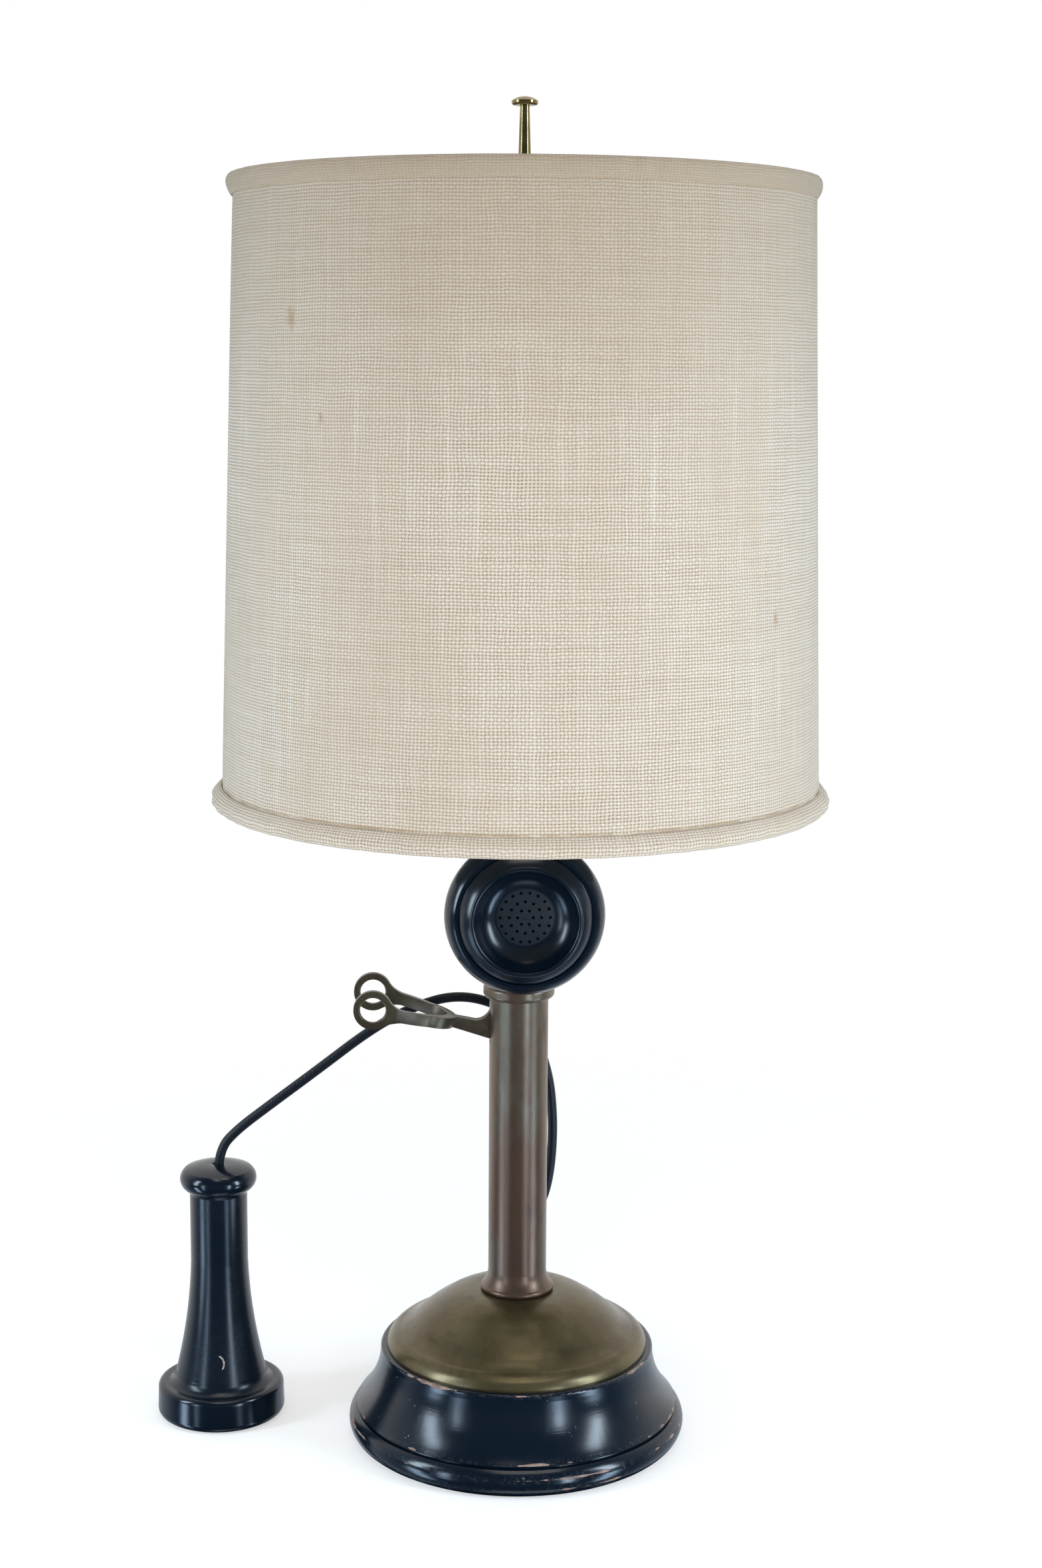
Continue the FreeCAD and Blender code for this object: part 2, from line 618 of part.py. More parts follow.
def make_column_cap():
    body = new_body("column_cap", z="wood_height + dome_height + column_length - cap_plug")
    hole = "pipe_radius + pipe_clearance"
    plug = "column_radius - column_wall - plug_clearance"
    top = "cap_plug + cap_height"
    turn(body, [
        to(hole, "0"),
        to(plug, "0"),
        to(plug, "cap_plug"),
        corner("cap_radius", "cap_plug", "cap_round_low"),
        corner("cap_radius", top, "cap_round_high"),
        to(hole, top),
    ])
    axle = f"{top} + tilt_height"
    sunk = f"{top} - cap_round_high"
    half_gap = "lug_thickness / 2 + lug_clearance"
    pad(body, "YZ_Plane", [
        to("-tilt_forward - ear_radius", sunk),
        to("-tilt_forward + ear_radius", sunk),
        to("-tilt_forward + ear_radius", axle),
        bow("-tilt_forward", f"{axle} + ear_radius", "-tilt_forward - ear_radius", axle),
    ], f"2 * ({half_gap} + ear_thickness)")
    reach = "tilt_forward + 2 * ear_radius"
    cut(body, "YZ_Plane", [
        to(f"-({reach})", top),
        to("0", top),
        to("0", f"{axle} + 2 * ear_radius"),
        to(f"-({reach})", f"{axle} + 2 * ear_radius"),
    ], f"2 * ({half_gap})")
    drill(body, "YZ_Plane", "-tilt_forward", axle, "screw_radius", "4 * cap_radius")


def make_lamp_pipe():
    foot = "wood_recess_height - washer_thickness - nut_height - pipe_below_nut"
    top = f"{SOCKET_Z} + socket_hub_height + socket_cap_height / 4"
    tube("lamp_pipe", "pipe_radius - pipe_wall", "pipe_radius", f"{top} - ({foot})", z=foot)


def make_pipe_nut():
    body = new_body("pipe_nut", z="wood_recess_height - washer_thickness - nut_height")
    flats = [to(f"nut_width / 2 / cos(30) * cos({angle})", f"nut_width / 2 / cos(30) * sin({angle})")
             for angle in range(15, 375, 60)]
    pad(body, "XY_Plane", flats, "nut_height", centred=False)
    drill(body, "XY_Plane", "0", "0", "pipe_radius + thread_clearance", "4 * nut_height")
    tube("pipe_washer", "pipe_radius + pipe_clearance", "washer_radius", "washer_thickness",
         z="wood_recess_height - washer_thickness")


# Hook: the fork that carried the receiver, on a pin inside the column
def make_hook():
    side = new_body("hook_side_outline", kept=False)
    arm = "hook_arm_height / 2"
    stem = "hook_stem_height / 2"
    ring_low = 55
    ring_high = 50
    neck = "-hook_reach + hook_ring_radius + 5.6"
    pad(side, "XZ_Plane", [
        to("0", "-hook_eye"),
        to("-5", f"-({stem}) + 0.4"),
        to("-hook_crotch + 4", f"-({arm}) + 0.8"),
        to(neck, f"-({arm}) + 0.4"),
        bow(f"{neck} - 4.6", f"-({arm}) - 1.1",
            f"-hook_reach + hook_ring_radius * cos({ring_low})", f"-hook_ring_radius * sin({ring_low})"),
        bow("-hook_reach - hook_ring_radius", "0",
            f"-hook_reach + hook_ring_radius * cos({ring_high})", f"hook_ring_radius * sin({ring_high})"),
        bow(f"{neck} - 4.6", f"{arm} + 1.0", neck, arm),
        to("-hook_crotch + 4", f"{arm} + 0.2"),
        to("-hook_heel - 3", f"{stem} + 0.5"),
        bow("-hook_heel", "hook_heel / 2 + 0.3", "-hook_heel + 2.4", "hook_heel - 0.3"),
        to("-hook_heel + 4.6", "hook_heel"),
        to("hook_eye * cos(45)", "hook_eye * sin(45)"),
        bow("hook_eye * cos(22.5)", "-hook_eye * sin(22.5)", "0", "-hook_eye"),
    ], "hook_gap + 4 * hook_arm_thickness")
    drill(side, "XZ_Plane", "-hook_reach", "0", "hook_ring_hole", "2 * hook_gap")
    drill(side, "XZ_Plane", "0", "0", "pin_radius + running_clearance", "2 * hook_gap")

    plan = new_body("hook_plan_outline", kept=False)
    inside = "hook_gap / 2"
    outside = "hook_gap / 2 + hook_arm_thickness"
    half_stem = "hook_stem_thickness / 2"
    tip = "-hook_reach - hook_ring_radius - 2"
    straight = "-hook_reach + hook_ring_radius + 1.8"
    bend = "-hook_crotch - 8"
    outer_side = [
        (None, ("hook_eye + 1", half_stem)),
        (None, ("-hook_crotch + 4.1", half_stem)),
        (("-hook_crotch + 0.4", "0.56 * hook_gap / 2"), (bend, f"0.67 * ({outside}) + 0.4")),
        ((f"0.5 * ({bend} + ({straight}))", f"0.89 * ({outside})"), (straight, outside)),
        (None, (tip, outside)),
    ]
    inner_side = [
        (None, (tip, inside)),
        (None, (straight, inside)),
        ((f"0.5 * ({bend} + ({straight})) - 0.8", f"0.87 * ({inside})"),
         (f"{bend} - 0.9", f"0.63 * ({inside})")),
        (("-hook_crotch - 3.1", f"0.37 * ({inside})"), ("-hook_crotch", "0")),
    ]
    half = outer_side + inner_side
    steps = [bow(*mid, *end) if mid else to(*end) for mid, end in half]
    mids = [mid for mid, end in half]
    ends = [end for mid, end in half]
    for place in range(len(half) - 1, 0, -1):
        x, y = ends[place - 1]
        if mids[place]:
            steps.append(bow(mids[place][0], f"-({mids[place][1]})", x, f"-({y})"))
        else:
            steps.append(to(x, f"-({y})"))
    pad(plan, "XY_Plane", steps, "4 * hook_heel")

    doc.recompute()
    blank = doc.addObject("Part::Common", "hook_blank")
    blank.Base = side
    blank.Tool = plan
    doc.recompute()
    hook = doc.addObject("Part::Fillet", "hook")
    hook.Base = blank
    edge_round = value("hook_edge_round")
    hook.Edges = [(number, edge_round, edge_round) for number in hook_edges_to_round(blank.Shape)]
    raised = FreeCAD.Rotation(FreeCAD.Vector(0, 1, 0), value("hook_rise"))
    hook.Placement = FreeCAD.Placement(FreeCAD.Vector(), raised)
    seat(hook, "-hook_pivot_inset", "0", HOOK_Z)
    pieces.append(hook)


def hook_edges_to_round(shape):
    """Long edges of the rings: the circles around their holes."""
    hole = value("hook_ring_hole")
    found = []
    for number, edge in enumerate(shape.Edges, 1):
        if isinstance(edge.Curve, Part.Circle) and abs(edge.Curve.Radius - hole) < 1e-6:
            found.append(number)
    return found


def make_hook_bracket():
    body = new_body("hook_bracket", x="-hook_pivot_inset", z=HOOK_Z)
    inner = "hook_stem_thickness / 2 + slot_clearance"
    half = f"{inner} + bracket_wall"
    bore = "column_radius - column_wall - bracket_wall_gap"
    wall = f"hook_pivot_inset - sqrt(({bore}) ^ 2 - ({half}) ^ 2)"
    web = "-hook_stem_height"
    pad(body, "XZ_Plane", [
        to(wall, "-bracket_drop"),
        to(f"{wall} + bracket_wall", "-bracket_drop"),
        to(f"{wall} + bracket_wall", web),
        to("hook_eye - 0.7", "-hook_eye"),
        to("hook_eye - 0.7", "hook_eye"),
        to(wall, "hook_eye"),
    ], f"2 * ({half})")
    cut(body, "XZ_Plane", [
        to(f"{wall} - 2", web),
        to("hook_eye + 2", web),
        to("hook_eye + 2", "hook_eye + 2"),
        to(f"{wall} - 2", "hook_eye + 2"),
    ], f"2 * ({inner})")
    drill(body, "XZ_Plane", "0", "0", "pin_radius", "8 * pin_radius + hook_stem_thickness")

    pin = new_body("hook_pivot_pin", x="-hook_pivot_inset", z=HOOK_Z)
    sketch = sketch_on(pin, "XZ_Plane")
    draw_circle(sketch, "0", "0", "pin_radius")
    extrude(pin, "Pad", sketch, f"2 * ({half}) + 1")

    leaf = new_body("hook_return_spring", x="-hook_pivot_inset", z=HOOK_Z)
    root = f"{wall} + bracket_wall"
    tip_height = "-hook_stem_height / 2 - spring_gap"
    pad(leaf, "XZ_Plane", [
        to(root, "-bracket_drop + 1"),
        to(f"{root} + spring_thickness", "-bracket_drop + 1"),
        to(f"{root} + spring_thickness", f"{web} - 1"),
        flow(f"{root} + 2.2 * spring_thickness", tip_height),
        to(f"{root} + 1.2 * spring_thickness", tip_height),
        bow(f"{root} + 0.25 * spring_thickness", f"0.6 * ({web} - 1) + 0.4 * ({tip_height})",
            root, f"{web} - 1"),
    ], "hook_stem_thickness - 1")


# Transmitter, turned about its own axis with the cup's back at zero
def transmitter_piece(label):
    return new_body(label, y="-transmitter_back", z="transmitter_height", turned=FACING_FRONT)


def make_transmitter():
    cup = transmitter_piece("transmitter_cup")
    inner_back = "cup_back_radius - 0.4 * cup_wall"
    turn(cup, [
        to("0", "0"),
        to("cup_back_radius", "0"),
        bow("cup_back_radius + 0.76 * (cup_radius - cup_back_radius)", "0.13 * cup_depth",
            "cup_radius", "0.45 * cup_depth"),
        to("cup_radius", "cup_depth"),
        to("cup_radius - cup_wall", "cup_depth"),
        to("cup_radius - cup_wall", "0.45 * cup_depth"),
        bow("cup_back_radius + 0.76 * (cup_radius - cup_back_radius) - 0.7 * cup_wall",
            "0.13 * cup_depth + 0.7 * cup_wall", inner_back, "cup_wall"),
        to("0", "cup_wall"),
    ])

    face = transmitter_piece("transmitter_faceplate")
    seat_height = "cup_depth + mouth_flange_thickness"
    skirt = "cup_radius + thread_clearance"
    turn(face, [
        to(skirt, "cup_depth - face_skirt"),
        to("face_radius - 1.2", "cup_depth - face_skirt"),
        bow("face_radius - 0.2", "cup_depth - 0.6 * face_skirt", "face_radius", "cup_depth + 1"),
        flow("face_opening + 1.6", "face_front"),
        to("face_opening", "face_front"),
        to("face_opening", seat_height),
        to(skirt, seat_height),
    ])

    mouth = transmitter_piece("mouthpiece")
    body_radius = "face_opening - thread_clearance"
    disc = "mouth_lip_front - grille_depth"
    inner_lip = "mouth_lip_radius - 2 * mouth_lip_round"
    turn(mouth, [
        to("0", f"{disc} - grille_thickness"),
        to("grille_radius", f"{disc} - grille_thickness"),
        to("grille_radius + mouth_wall", "cup_depth"),
        to("cup_radius - cup_wall / 2", "cup_depth"),
        to("cup_radius - cup_wall / 2", seat_height),
        to(body_radius, seat_height),
        to(body_radius, "face_front - 0.6"),
        bow("0.42 * face_opening + 0.58 * mouth_lip_radius + 0.6",
            "0.5 * (face_front + mouth_lip_front) - 0.4",
            "mouth_lip_radius", "mouth_lip_front - mouth_lip_round"),
        bow("mouth_lip_radius - mouth_lip_round", "mouth_lip_front",
            inner_lip, "mouth_lip_front - mouth_lip_round"),
        bow(f"0.42 * grille_radius + 0.58 * ({inner_lip})", f"{disc} + 0.30 * grille_depth",
            "grille_radius", disc),
        crown("grille_radius", "grille_dome", f"{disc} + grille_dome"),
    ])
    for radius, count in (("grille_ring_one", 6), ("grille_ring_two", 12), ("grille_ring_three", 18)):
        hole = drill(mouth, "XY_Plane", radius, "0", "grille_hole", "4 * mouth_lip_front")
        around(mouth, hole, count)

    plate = transmitter_piece("transmitter_diaphragm")
    plate_rim = "cup_radius - cup_wall - thread_clearance"
    ledge = "cup_depth - diaphragm_thickness"
    turn(plate, [
        to("0", ledge),
        to(plate_rim, ledge),
        to(plate_rim, "cup_depth"),
        to("0", "cup_depth"),
    ])
    tube("transmitter_button", "0", "button_radius", f"{ledge} - cup_wall", y="-transmitter_back - cup_wall",
         z="transmitter_height", turned=FACING_FRONT)

    lug = new_body("transmitter_lug", y="-tilt_forward", z=TILT_Z)
    rise = f"transmitter_height - ({TILT_Z})"
    back = "-(transmitter_back - tilt_forward)"
    pad(lug, "YZ_Plane", [
        to("-ear_radius", "0"),
        bow("0", "-ear_radius", "ear_radius", "0"),
        to("ear_radius", "0.6 * ear_radius"),
        to("-0.9 * ear_radius", f"0.62 * ({rise})"),
        to(f"{back} + 2.5", f"{rise} - 6"),
        to(back, f"{rise} - 6"),
        to(back, f"{rise} - cup_back_radius + 1"),
        to("-ear_radius", "1.6 * ear_radius"),
    ], "lug_thickness")
    drill(lug, "YZ_Plane", "0", "0", "screw_radius + running_clearance", "4 * lug_thickness")

    half_width = "lug_thickness / 2 + lug_clearance + ear_thickness"
    on_side = FreeCAD.Rotation(FreeCAD.Vector(0, 1, 0), 90)
    screw = new_body("tilt_screw", x=f"-({half_width})", y="-tilt_forward", z=TILT_Z, turned=on_side)
    across = f"2 * ({half_width})"
    turn(screw, [
        to("0", "-screw_head_height - 1"),
        to("screw_radius", "-screw_head_height - 1"),
        to("screw_radius", across),
        to("screw_head", across),
        corner("screw_head", f"{across} + screw_head_height", "screw_head_height / 3"),
        to("0", f"{across} + screw_head_height"),
    ])
    nut = new_body("tilt_nut", x=f"-({half_width}) - screw_head_height", y="-tilt_forward", z=TILT_Z,
                   turned=on_side)
    turn(nut, [
        to("screw_radius", "0"),
        corner("screw_head", "0", "screw_head_height / 4"),
        corner("screw_head", "screw_head_height", "screw_head_height / 4"),
        to("screw_radius", "screw_head_height"),
    ])


# Receiver
def receiver_piece(label, z="0"):
    return new_body(label, x="receiver_x", y="receiver_y", z=z)


def make_receiver():
    cap = receiver_piece("receiver_ear_cap")
    seat_height = "ear_dish_depth + ear_cap_floor"
    thread = "shell_flange + thread_clearance"
    turn(cap, [
        to("ear_hole", "ear_dish_depth"),
        bow("0.5 * (ear_hole + ear_cap_rim)", "0.72 * ear_dish_depth", "ear_cap_rim", "0"),
        to("ear_cap_radius - 3", "0"),
        bow("ear_cap_radius - 0.8", "1.2", "ear_cap_radius", "4"),
        to("ear_cap_radius - 0.3", "ear_cap_height - 3"),
        bow("ear_cap_radius - 1.1", "ear_cap_height - 0.8", "ear_cap_radius - 3", "ear_cap_height"),
        to(thread, "ear_cap_height"),
        to(thread, seat_height),
        to("ear_hole", seat_height),
    ])

    tube("receiver_diaphragm", "0", "shell_flange - thread_clearance", "plate_thickness",
         x="receiver_x", y="receiver_y", z=seat_height)

    shell = receiver_piece("receiver_shell")
    foot = f"{seat_height} + plate_thickness"
    neck_bore = "shell_neck - shell_wall"
    bell_middle = ("shell_neck + 0.46 * (shell_bell - shell_neck)",
                   "shell_bell_start + 0.36 * (shell_neck_start - shell_bell_start)")
    turn(shell, [
        to("shell_bell - shell_wall", foot),
        to("shell_flange", foot),
        to("shell_flange", "ear_cap_height"),
        to("shell_flare", "ear_cap_height"),
        bow("shell_bell + 0.3 * (shell_flare - shell_bell)",
            "ear_cap_height + 0.4 * (shell_bell_start - ear_cap_height)",
            "shell_bell", "shell_bell_start"),
        bow(*bell_middle, "shell_neck", "shell_neck_start"),
        to("shell_neck", "shell_top"),
        to(neck_bore, "shell_top"),
        to(neck_bore, "shell_neck_start"),
        bow(f"{bell_middle[0]} - shell_wall", bell_middle[1], "shell_bell - shell_wall", "shell_bell_start"),
    ])

    tail = receiver_piece("receiver_tail_cap", z="shell_top - tail_plug")
    hole = "cord_radius + tail_clearance"
    plug = f"{neck_bore} - thread_clearance"
    turn(tail, [
        to(hole, "0"),
        to(plug, "0"),
        to(plug, "tail_plug"),
        to("shell_neck", "tail_plug"),
        to("shell_neck + 0.6", "tail_plug + 0.1 * tail_height"),
        bow("tail_radius", "tail_plug + 0.54 * tail_height",
            "tail_radius - 2.6", "tail_plug + 0.85 * tail_height"),
        bow("0.6 * tail_radius", "tail_plug + 0.955 * tail_height", hole, "tail_plug + tail_height"),
    ])

    pole = f"{seat_height} + plate_thickness + coil_gap"
    coils = receiver_piece("receiver_coils", z=pole)
    half_span = f"{neck_bore} - 1.6"
    pole_x = f"{half_span} - magnet_leg / 2"
    for side in ("", "-"):
        sketch = sketch_on(coils, "XY_Plane")
        draw_circle(sketch, f"{side}({pole_x})", "0", f"{pole_x} - 0.4")
        extrude(coils, "Pad", sketch, "coil_height", centred=False)
    pad(coils, "XY_Plane", [
        to(f"-({pole_x})", "-magnet_depth / 2"),
        to(pole_x, "-magnet_depth / 2"),
        to(pole_x, "magnet_depth / 2"),
        to(f"-({pole_x})", "magnet_depth / 2"),
    ], "plate_thickness * 4", centred=False, lift="coil_height - plate_thickness * 4")

    magnet = receiver_piece("receiver_magnet", z=f"{pole} + coil_height")
    length = f"shell_top - tail_plug - ({pole} + coil_height)"
    inner = f"{half_span} - magnet_leg"
    pad(magnet, "XZ_Plane", [
        to(f"-({half_span})", "0"),
        to(f"-({inner})", "0"),
        to(f"-({inner})", f"{length} - magnet_leg - ({inner})"),
        bow("0", f"{length} - magnet_leg", inner, f"{length} - magnet_leg - ({inner})"),
        to(inner, "0"),
        to(half_span, "0"),
        to(half_span, f"{length} - ({half_span})"),
        bow("0", length, f"-({half_span})", f"{length} - ({half_span})"),
    ], "magnet_depth")


# Cord from the back of the column, up behind it, over behind the fork and down to the receiver
CORD_ROUTE = (
    (0.0, 13.2, 91.0),
    (0.0, 20.6, 91.0),
    (4.4, 25.2, 94.4),
    (10.6, 26.2, 101.6),
    (15.8, 26.0, 112.6),
    (18.6, 26.0, 131.0),
    (19.0, 26.0, 152.5),
    (16.6, 26.0, 174.8),
    (8.6, 26.0, 196.4),
    (-8.5, 26.2, 210.4),
    (-30.0, 26.6, 215.2),
    (-52.0, 26.6, 208.6),
    (-72.0, 26.4, 197.6),
    (-98.2, 26.2, 177.4),
    (-123.3, 26.0, 158.6),
    (-138.6, 26.0, 146.8),
    (-147.0, 26.0, 137.4),
    (-148.0, 26.0, 127.6),
)


def rounded_route(points):
    """Straight runs joined by the largest arcs that the shorter of two runs allows."""
    points = [FreeCAD.Vector(*point) for point in points]
    edges = []
    radii = []
    start = points[0]
    for before, point, after in zip(points, points[1:], points[2:]):
        into = (point - before).normalize()
        out = (after - point).normalize()
        half_turn = into.getAngle(out) / 2
        reach = 0.45 * min((point - before).Length, (after - point).Length)
        radius = reach / math.tan(half_turn)
        first = point - into * reach
        last = point + out * reach
        bisector = (out - into).normalize()
        middle = point + bisector * (radius / math.cos(half_turn) - radius)
        edges.append(Part.LineSegment(start, first).toShape())
        edges.append(Part.Arc(first, middle, last).toShape())
        radii.append(radius)
        start = last
    edges.append(Part.LineSegment(start, points[-1]).toShape())
    return Part.Wire(edges), radii


def make_receiver_cord():
    path, radii = rounded_route(CORD_ROUTE)
    radius = value("cord_radius")
    start = FreeCAD.Vector(*CORD_ROUTE[0])
    section = Part.Wire([Part.Circle(start, FreeCAD.Vector(0, 1, 0), radius).toShape()])
    solid = path.makePipeShell([section], True, False)
    expected = math.pi * radius ** 2 * path.Length
    print("cord radii", [round(bend, 1) for bend in radii])
    share = round(solid.Volume / expected, 4)
    print("cord length", round(path.Length, 1), "volume", share, "of section by length")
    cord = doc.addObject("Part::Feature", "receiver_cord")
    cord.Shape = solid
    pieces.append(cord)


def make_cord_bushing():
    body = new_body("cord_bushing", y="column_radius - grommet_length", z="cord_exit_height",
                    turned=FACING_BACK)
    bore = "cord_radius + cord_clearance"
    full = "grommet_length + grommet_flange_width"
    turn(body, [
        to(bore, "0"),
        to("grommet_body", "0"),
        to("grommet_body", "grommet_length"),
        to("grommet_flange", "grommet_length"),
        corner("grommet_flange", full, "grommet_flange_width / 2"),
        to(bore, full),
    ])


# Lamp fittings above the column

def make_harp():
    tube("neck_sleeve", "pipe_radius + pipe_clearance", "sleeve_radius", "sleeve_length", z=COLLAR_TOP)

    saddle = new_body("harp_saddle", z=SADDLE_Z)
    outer = "saddle_spread + saddle_thickness / 2"
    inner = "saddle_spread - saddle_thickness / 2"
    bend = "2 * saddle_thickness"
    pad(saddle, "XZ_Plane", [
        corner(f"-({outer})", "0", bend),
        corner(outer, "0", bend),
        to(outer, "saddle_height"),
        to(inner, "saddle_height"),
        corner(inner, "saddle_thickness", "saddle_thickness"),
        corner(f"-({inner})", "saddle_thickness", "saddle_thickness"),
        to(f"-({inner})", "saddle_height"),
        to(f"-({outer})", "saddle_height"),
    ], "saddle_width")
    drill(saddle, "XY_Plane", "0", "0", "pipe_radius + pipe_clearance", "4 * saddle_thickness")
    for side in ("", "-"):
        sketch = sketch_on(saddle, "XY_Plane", "saddle_height - 1")
        draw_circle(sketch, f"{side}saddle_spread", "0", "harp_wire")
        extrude(saddle, "Pad", sketch, "harp_stud + 1", centred=False)

    bore = "harp_wire + running_clearance"
    for side, label in (("", "harp_sleeve_right"), ("-", "harp_sleeve_left")):
        tube(label, bore, f"{bore} + harp_sleeve_wall", "harp_sleeve_length",
             x=f"{side}saddle_spread", z=f"{STUD_Z} + harp_sleeve_gap")

    harp = new_body("harp", z=STUD_Z)
    under = "harp_height - harp_plate_thickness"
    turn(harp, [
        to("0", under),
        to("harp_plate_radius", under),
        to("harp_plate_radius", "harp_height"),
        to("finial_stud_radius", "harp_height"),
        to("finial_stud_radius", "harp_height + finial_stud_length"),
        to("0", "harp_height + finial_stud_length"),
    ])
    leg = bent_wire(harp, [
        to("saddle_spread", "harp_stud + 0.2"),
        to("saddle_spread", "harp_sleeve_length + harp_sleeve_travel + 2"),
        flow("saddle_spread + 0.5 * (harp_spread - saddle_spread)", "harp_bow_share * harp_height"),
        flow("harp_spread - 1.5", "harp_widest_share * harp_height"),
        flow("0.5 * harp_spread", "harp_shoulder_share * harp_height"),
        flow("harp_plate_radius - harp_wire", "harp_height - harp_wire"),
    ], "harp_wire")
    other = harp.newObject("PartDesign::Mirrored", "harp_other_leg")
    other.Originals = [leg]
    other.MirrorPlane = (origin_plane(harp, "YZ_Plane"), [""])
    harp.Tip = other


def make_socket():
    cap = new_body("socket_cap", z=SOCKET_Z)
    bore = "pipe_radius + thread_clearance"
    bell = "socket_cap_height - 1.3 * socket_lap"
    turn(cap, [
        to(bore, "0"),
        to("socket_hub", "0"),
        to("socket_hub", "socket_hub_height"),
        bow("0.28 * socket_hub + 0.72 * socket_radius", f"0.6 * socket_hub_height + 0.4 * ({bell})",
            "socket_radius", bell),
        to("socket_radius", "socket_cap_height"),
        to("socket_radius - socket_wall", "socket_cap_height"),
        to("socket_radius - socket_wall", bell),
        bow("0.28 * socket_hub + 0.72 * socket_radius - 0.8 * socket_wall",
            f"0.6 * socket_hub_height + 0.4 * ({bell}) + 0.8 * socket_wall",
            "socket_hub", "socket_hub_height + 1.5 * socket_wall"),
        to(bore, "socket_hub_height + 1.5 * socket_wall"),
    ])

    shell_outer = "socket_radius - socket_wall - thread_clearance"
    shell_inner = f"{shell_outer} - socket_wall"
    shell = tube("socket_shell", shell_inner, shell_outer, "socket_shell_length", z=SHELL_Z)
    drill(shell, "XZ_Plane", "0", "key_height", "key_radius + slot_clearance", "2 * socket_radius")
    liner_outer = f"{shell_inner} - thread_clearance"
    liner_inner = f"{liner_outer} - insulator_wall"
    liner = tube("socket_insulator", liner_inner, liner_outer, "socket_shell_length - 1", z=SHELL_Z)
    drill(liner, "XZ_Plane", "0", "key_height", "key_radius + slot_clearance", "2 * socket_radius")

    core = new_body("socket_core", z=SHELL_Z)
    core_rim = f"{liner_inner} - thread_clearance"
    turn(core, [
        to("0", "0"),
        to(core_rim, "0"),
        to(core_rim, "socket_core_height"),
        to("0", "socket_core_height"),
    ])
    bore_depth = f"{core_rim} - 4"
    sketch = sketch_on(core, "XZ_Plane", f"({core_rim}) - ({bore_depth})")
    draw_circle(sketch, "0", "key_height", "key_radius + running_clearance")
    extrude(core, "Pocket", sketch, bore_depth, centred=False, reverse=True)

    tube("socket_screw_shell", "screw_shell_radius", "screw_shell_radius + socket_wall / 2",
         "socket_shell_length - socket_core_height - 1", z=f"{SHELL_Z} + socket_core_height")

    key = new_body("switch_key", z=f"{SHELL_Z} + key_height", turned=FACING_FRONT)
    turn(key, [
        to("0", "4.3"),
        to("key_radius", "4.3"),
        to("key_radius", "key_reach"),
        to("0", "key_reach"),
    ])
    waist = "key_radius + 0.4"
    pad(key, "XZ_Plane", [
        to(f"-({waist})", "key_reach - 3"),
        to(waist, "key_reach - 3"),
        bow("key_paddle", "key_reach + 2", "key_paddle", "key_reach + 6"),
        bow("0", "key_reach + 10", "-key_paddle", "key_reach + 6"),
        bow("-key_paddle", "key_reach + 2", f"-({waist})", "key_reach - 3"),
    ], "key_thickness")


def make_bulb():
    base = new_body("bulb_base", z=f"{BULB_Z} - bulb_base_height")
    turn(base, [
        to("0", "0"),
        to("0.35 * bulb_base_radius", "0"),
        to("0.8 * bulb_base_radius", "4"),
        to("bulb_base_radius", "5"),
        to("bulb_base_radius", "bulb_base_height"),
        to("0", "bulb_base_height"),
    ])
    glass = new_body("bulb_glass", z=BULB_Z)
    belly = "bulb_height - bulb_radius"
    inner = "(bulb_radius - bulb_wall)"
    waist = "0.5 * (bulb_base_radius + bulb_radius) - 2.5"
    turn(glass, [
        to("bulb_base_radius - bulb_wall", "0"),
        to("bulb_base_radius", "0"),
        bow(waist, f"0.4 * ({belly})", "bulb_radius * cos(15)", f"{belly} - bulb_radius * sin(15)"),
        bow("bulb_radius * cos(37.5)", f"{belly} + bulb_radius * sin(37.5)", "0", "bulb_height"),
        to("0", "bulb_height - bulb_wall"),
        bow(f"{inner} * cos(37.5)", f"{belly} + {inner} * sin(37.5)",
            f"{inner} * cos(15)", f"{belly} - {inner} * sin(15)"),
        bow(f"{waist} - bulb_wall", f"0.4 * ({belly})", "bulb_base_radius - bulb_wall", "0"),
    ])


# Shade
def cone(height, inside="0"):
    """Radius of the shade's cloth at a height above the shade's lower edge, less a depth inside it."""
    taper = "(shade_bottom_radius - shade_top_radius) / shade_height"
    return f"shade_bottom_radius - {taper} * ({height}) - ({inside})"


def shade_piece(label):
    return new_body(label, z="shade_bottom")


def shade_wall(label, outside, inside):
    body = shade_piece(label)
    low = "trim_fold"
    high = "shade_height - trim_fold"
    turn(body, [
        to(cone(low, inside), low),
        to(cone(low, outside), low),
        to(cone(high, outside), high),
        to(cone(high, inside), high),
    ])


def shade_trim(label, edge, fold, crease, proud):
    """Band folded over an edge: proud outside, and reaching in over the wire ring."""
    body = shade_piece(label)
    within = "cover_thickness + liner_thickness + 2 * wire_radius + 2 * wire_seat"
    middle = f"0.5 * ({edge} + ({crease}))"
    turn(body, [
        to(cone(fold, within), edge),
        to(cone(edge, f"-0.45 * {proud}"), edge),
        bow(cone(middle, f"-{proud}"), middle, cone(crease), crease),
        to(cone(fold), fold),
        to(cone(fold, within), fold),
    ])


def shade_ring(label, height):
    inset = "cover_thickness + liner_thickness + wire_radius + wire_seat"
    ring = doc.addObject("Part::Torus", label)
    ring.Label = label
    ring.setExpression("Radius1", tie(cone(height, inset)))
    ring.setExpression("Radius2", tie("wire_radius"))
    seat(ring, "0", "0", f"shade_bottom + {height}")
    pieces.append(ring)


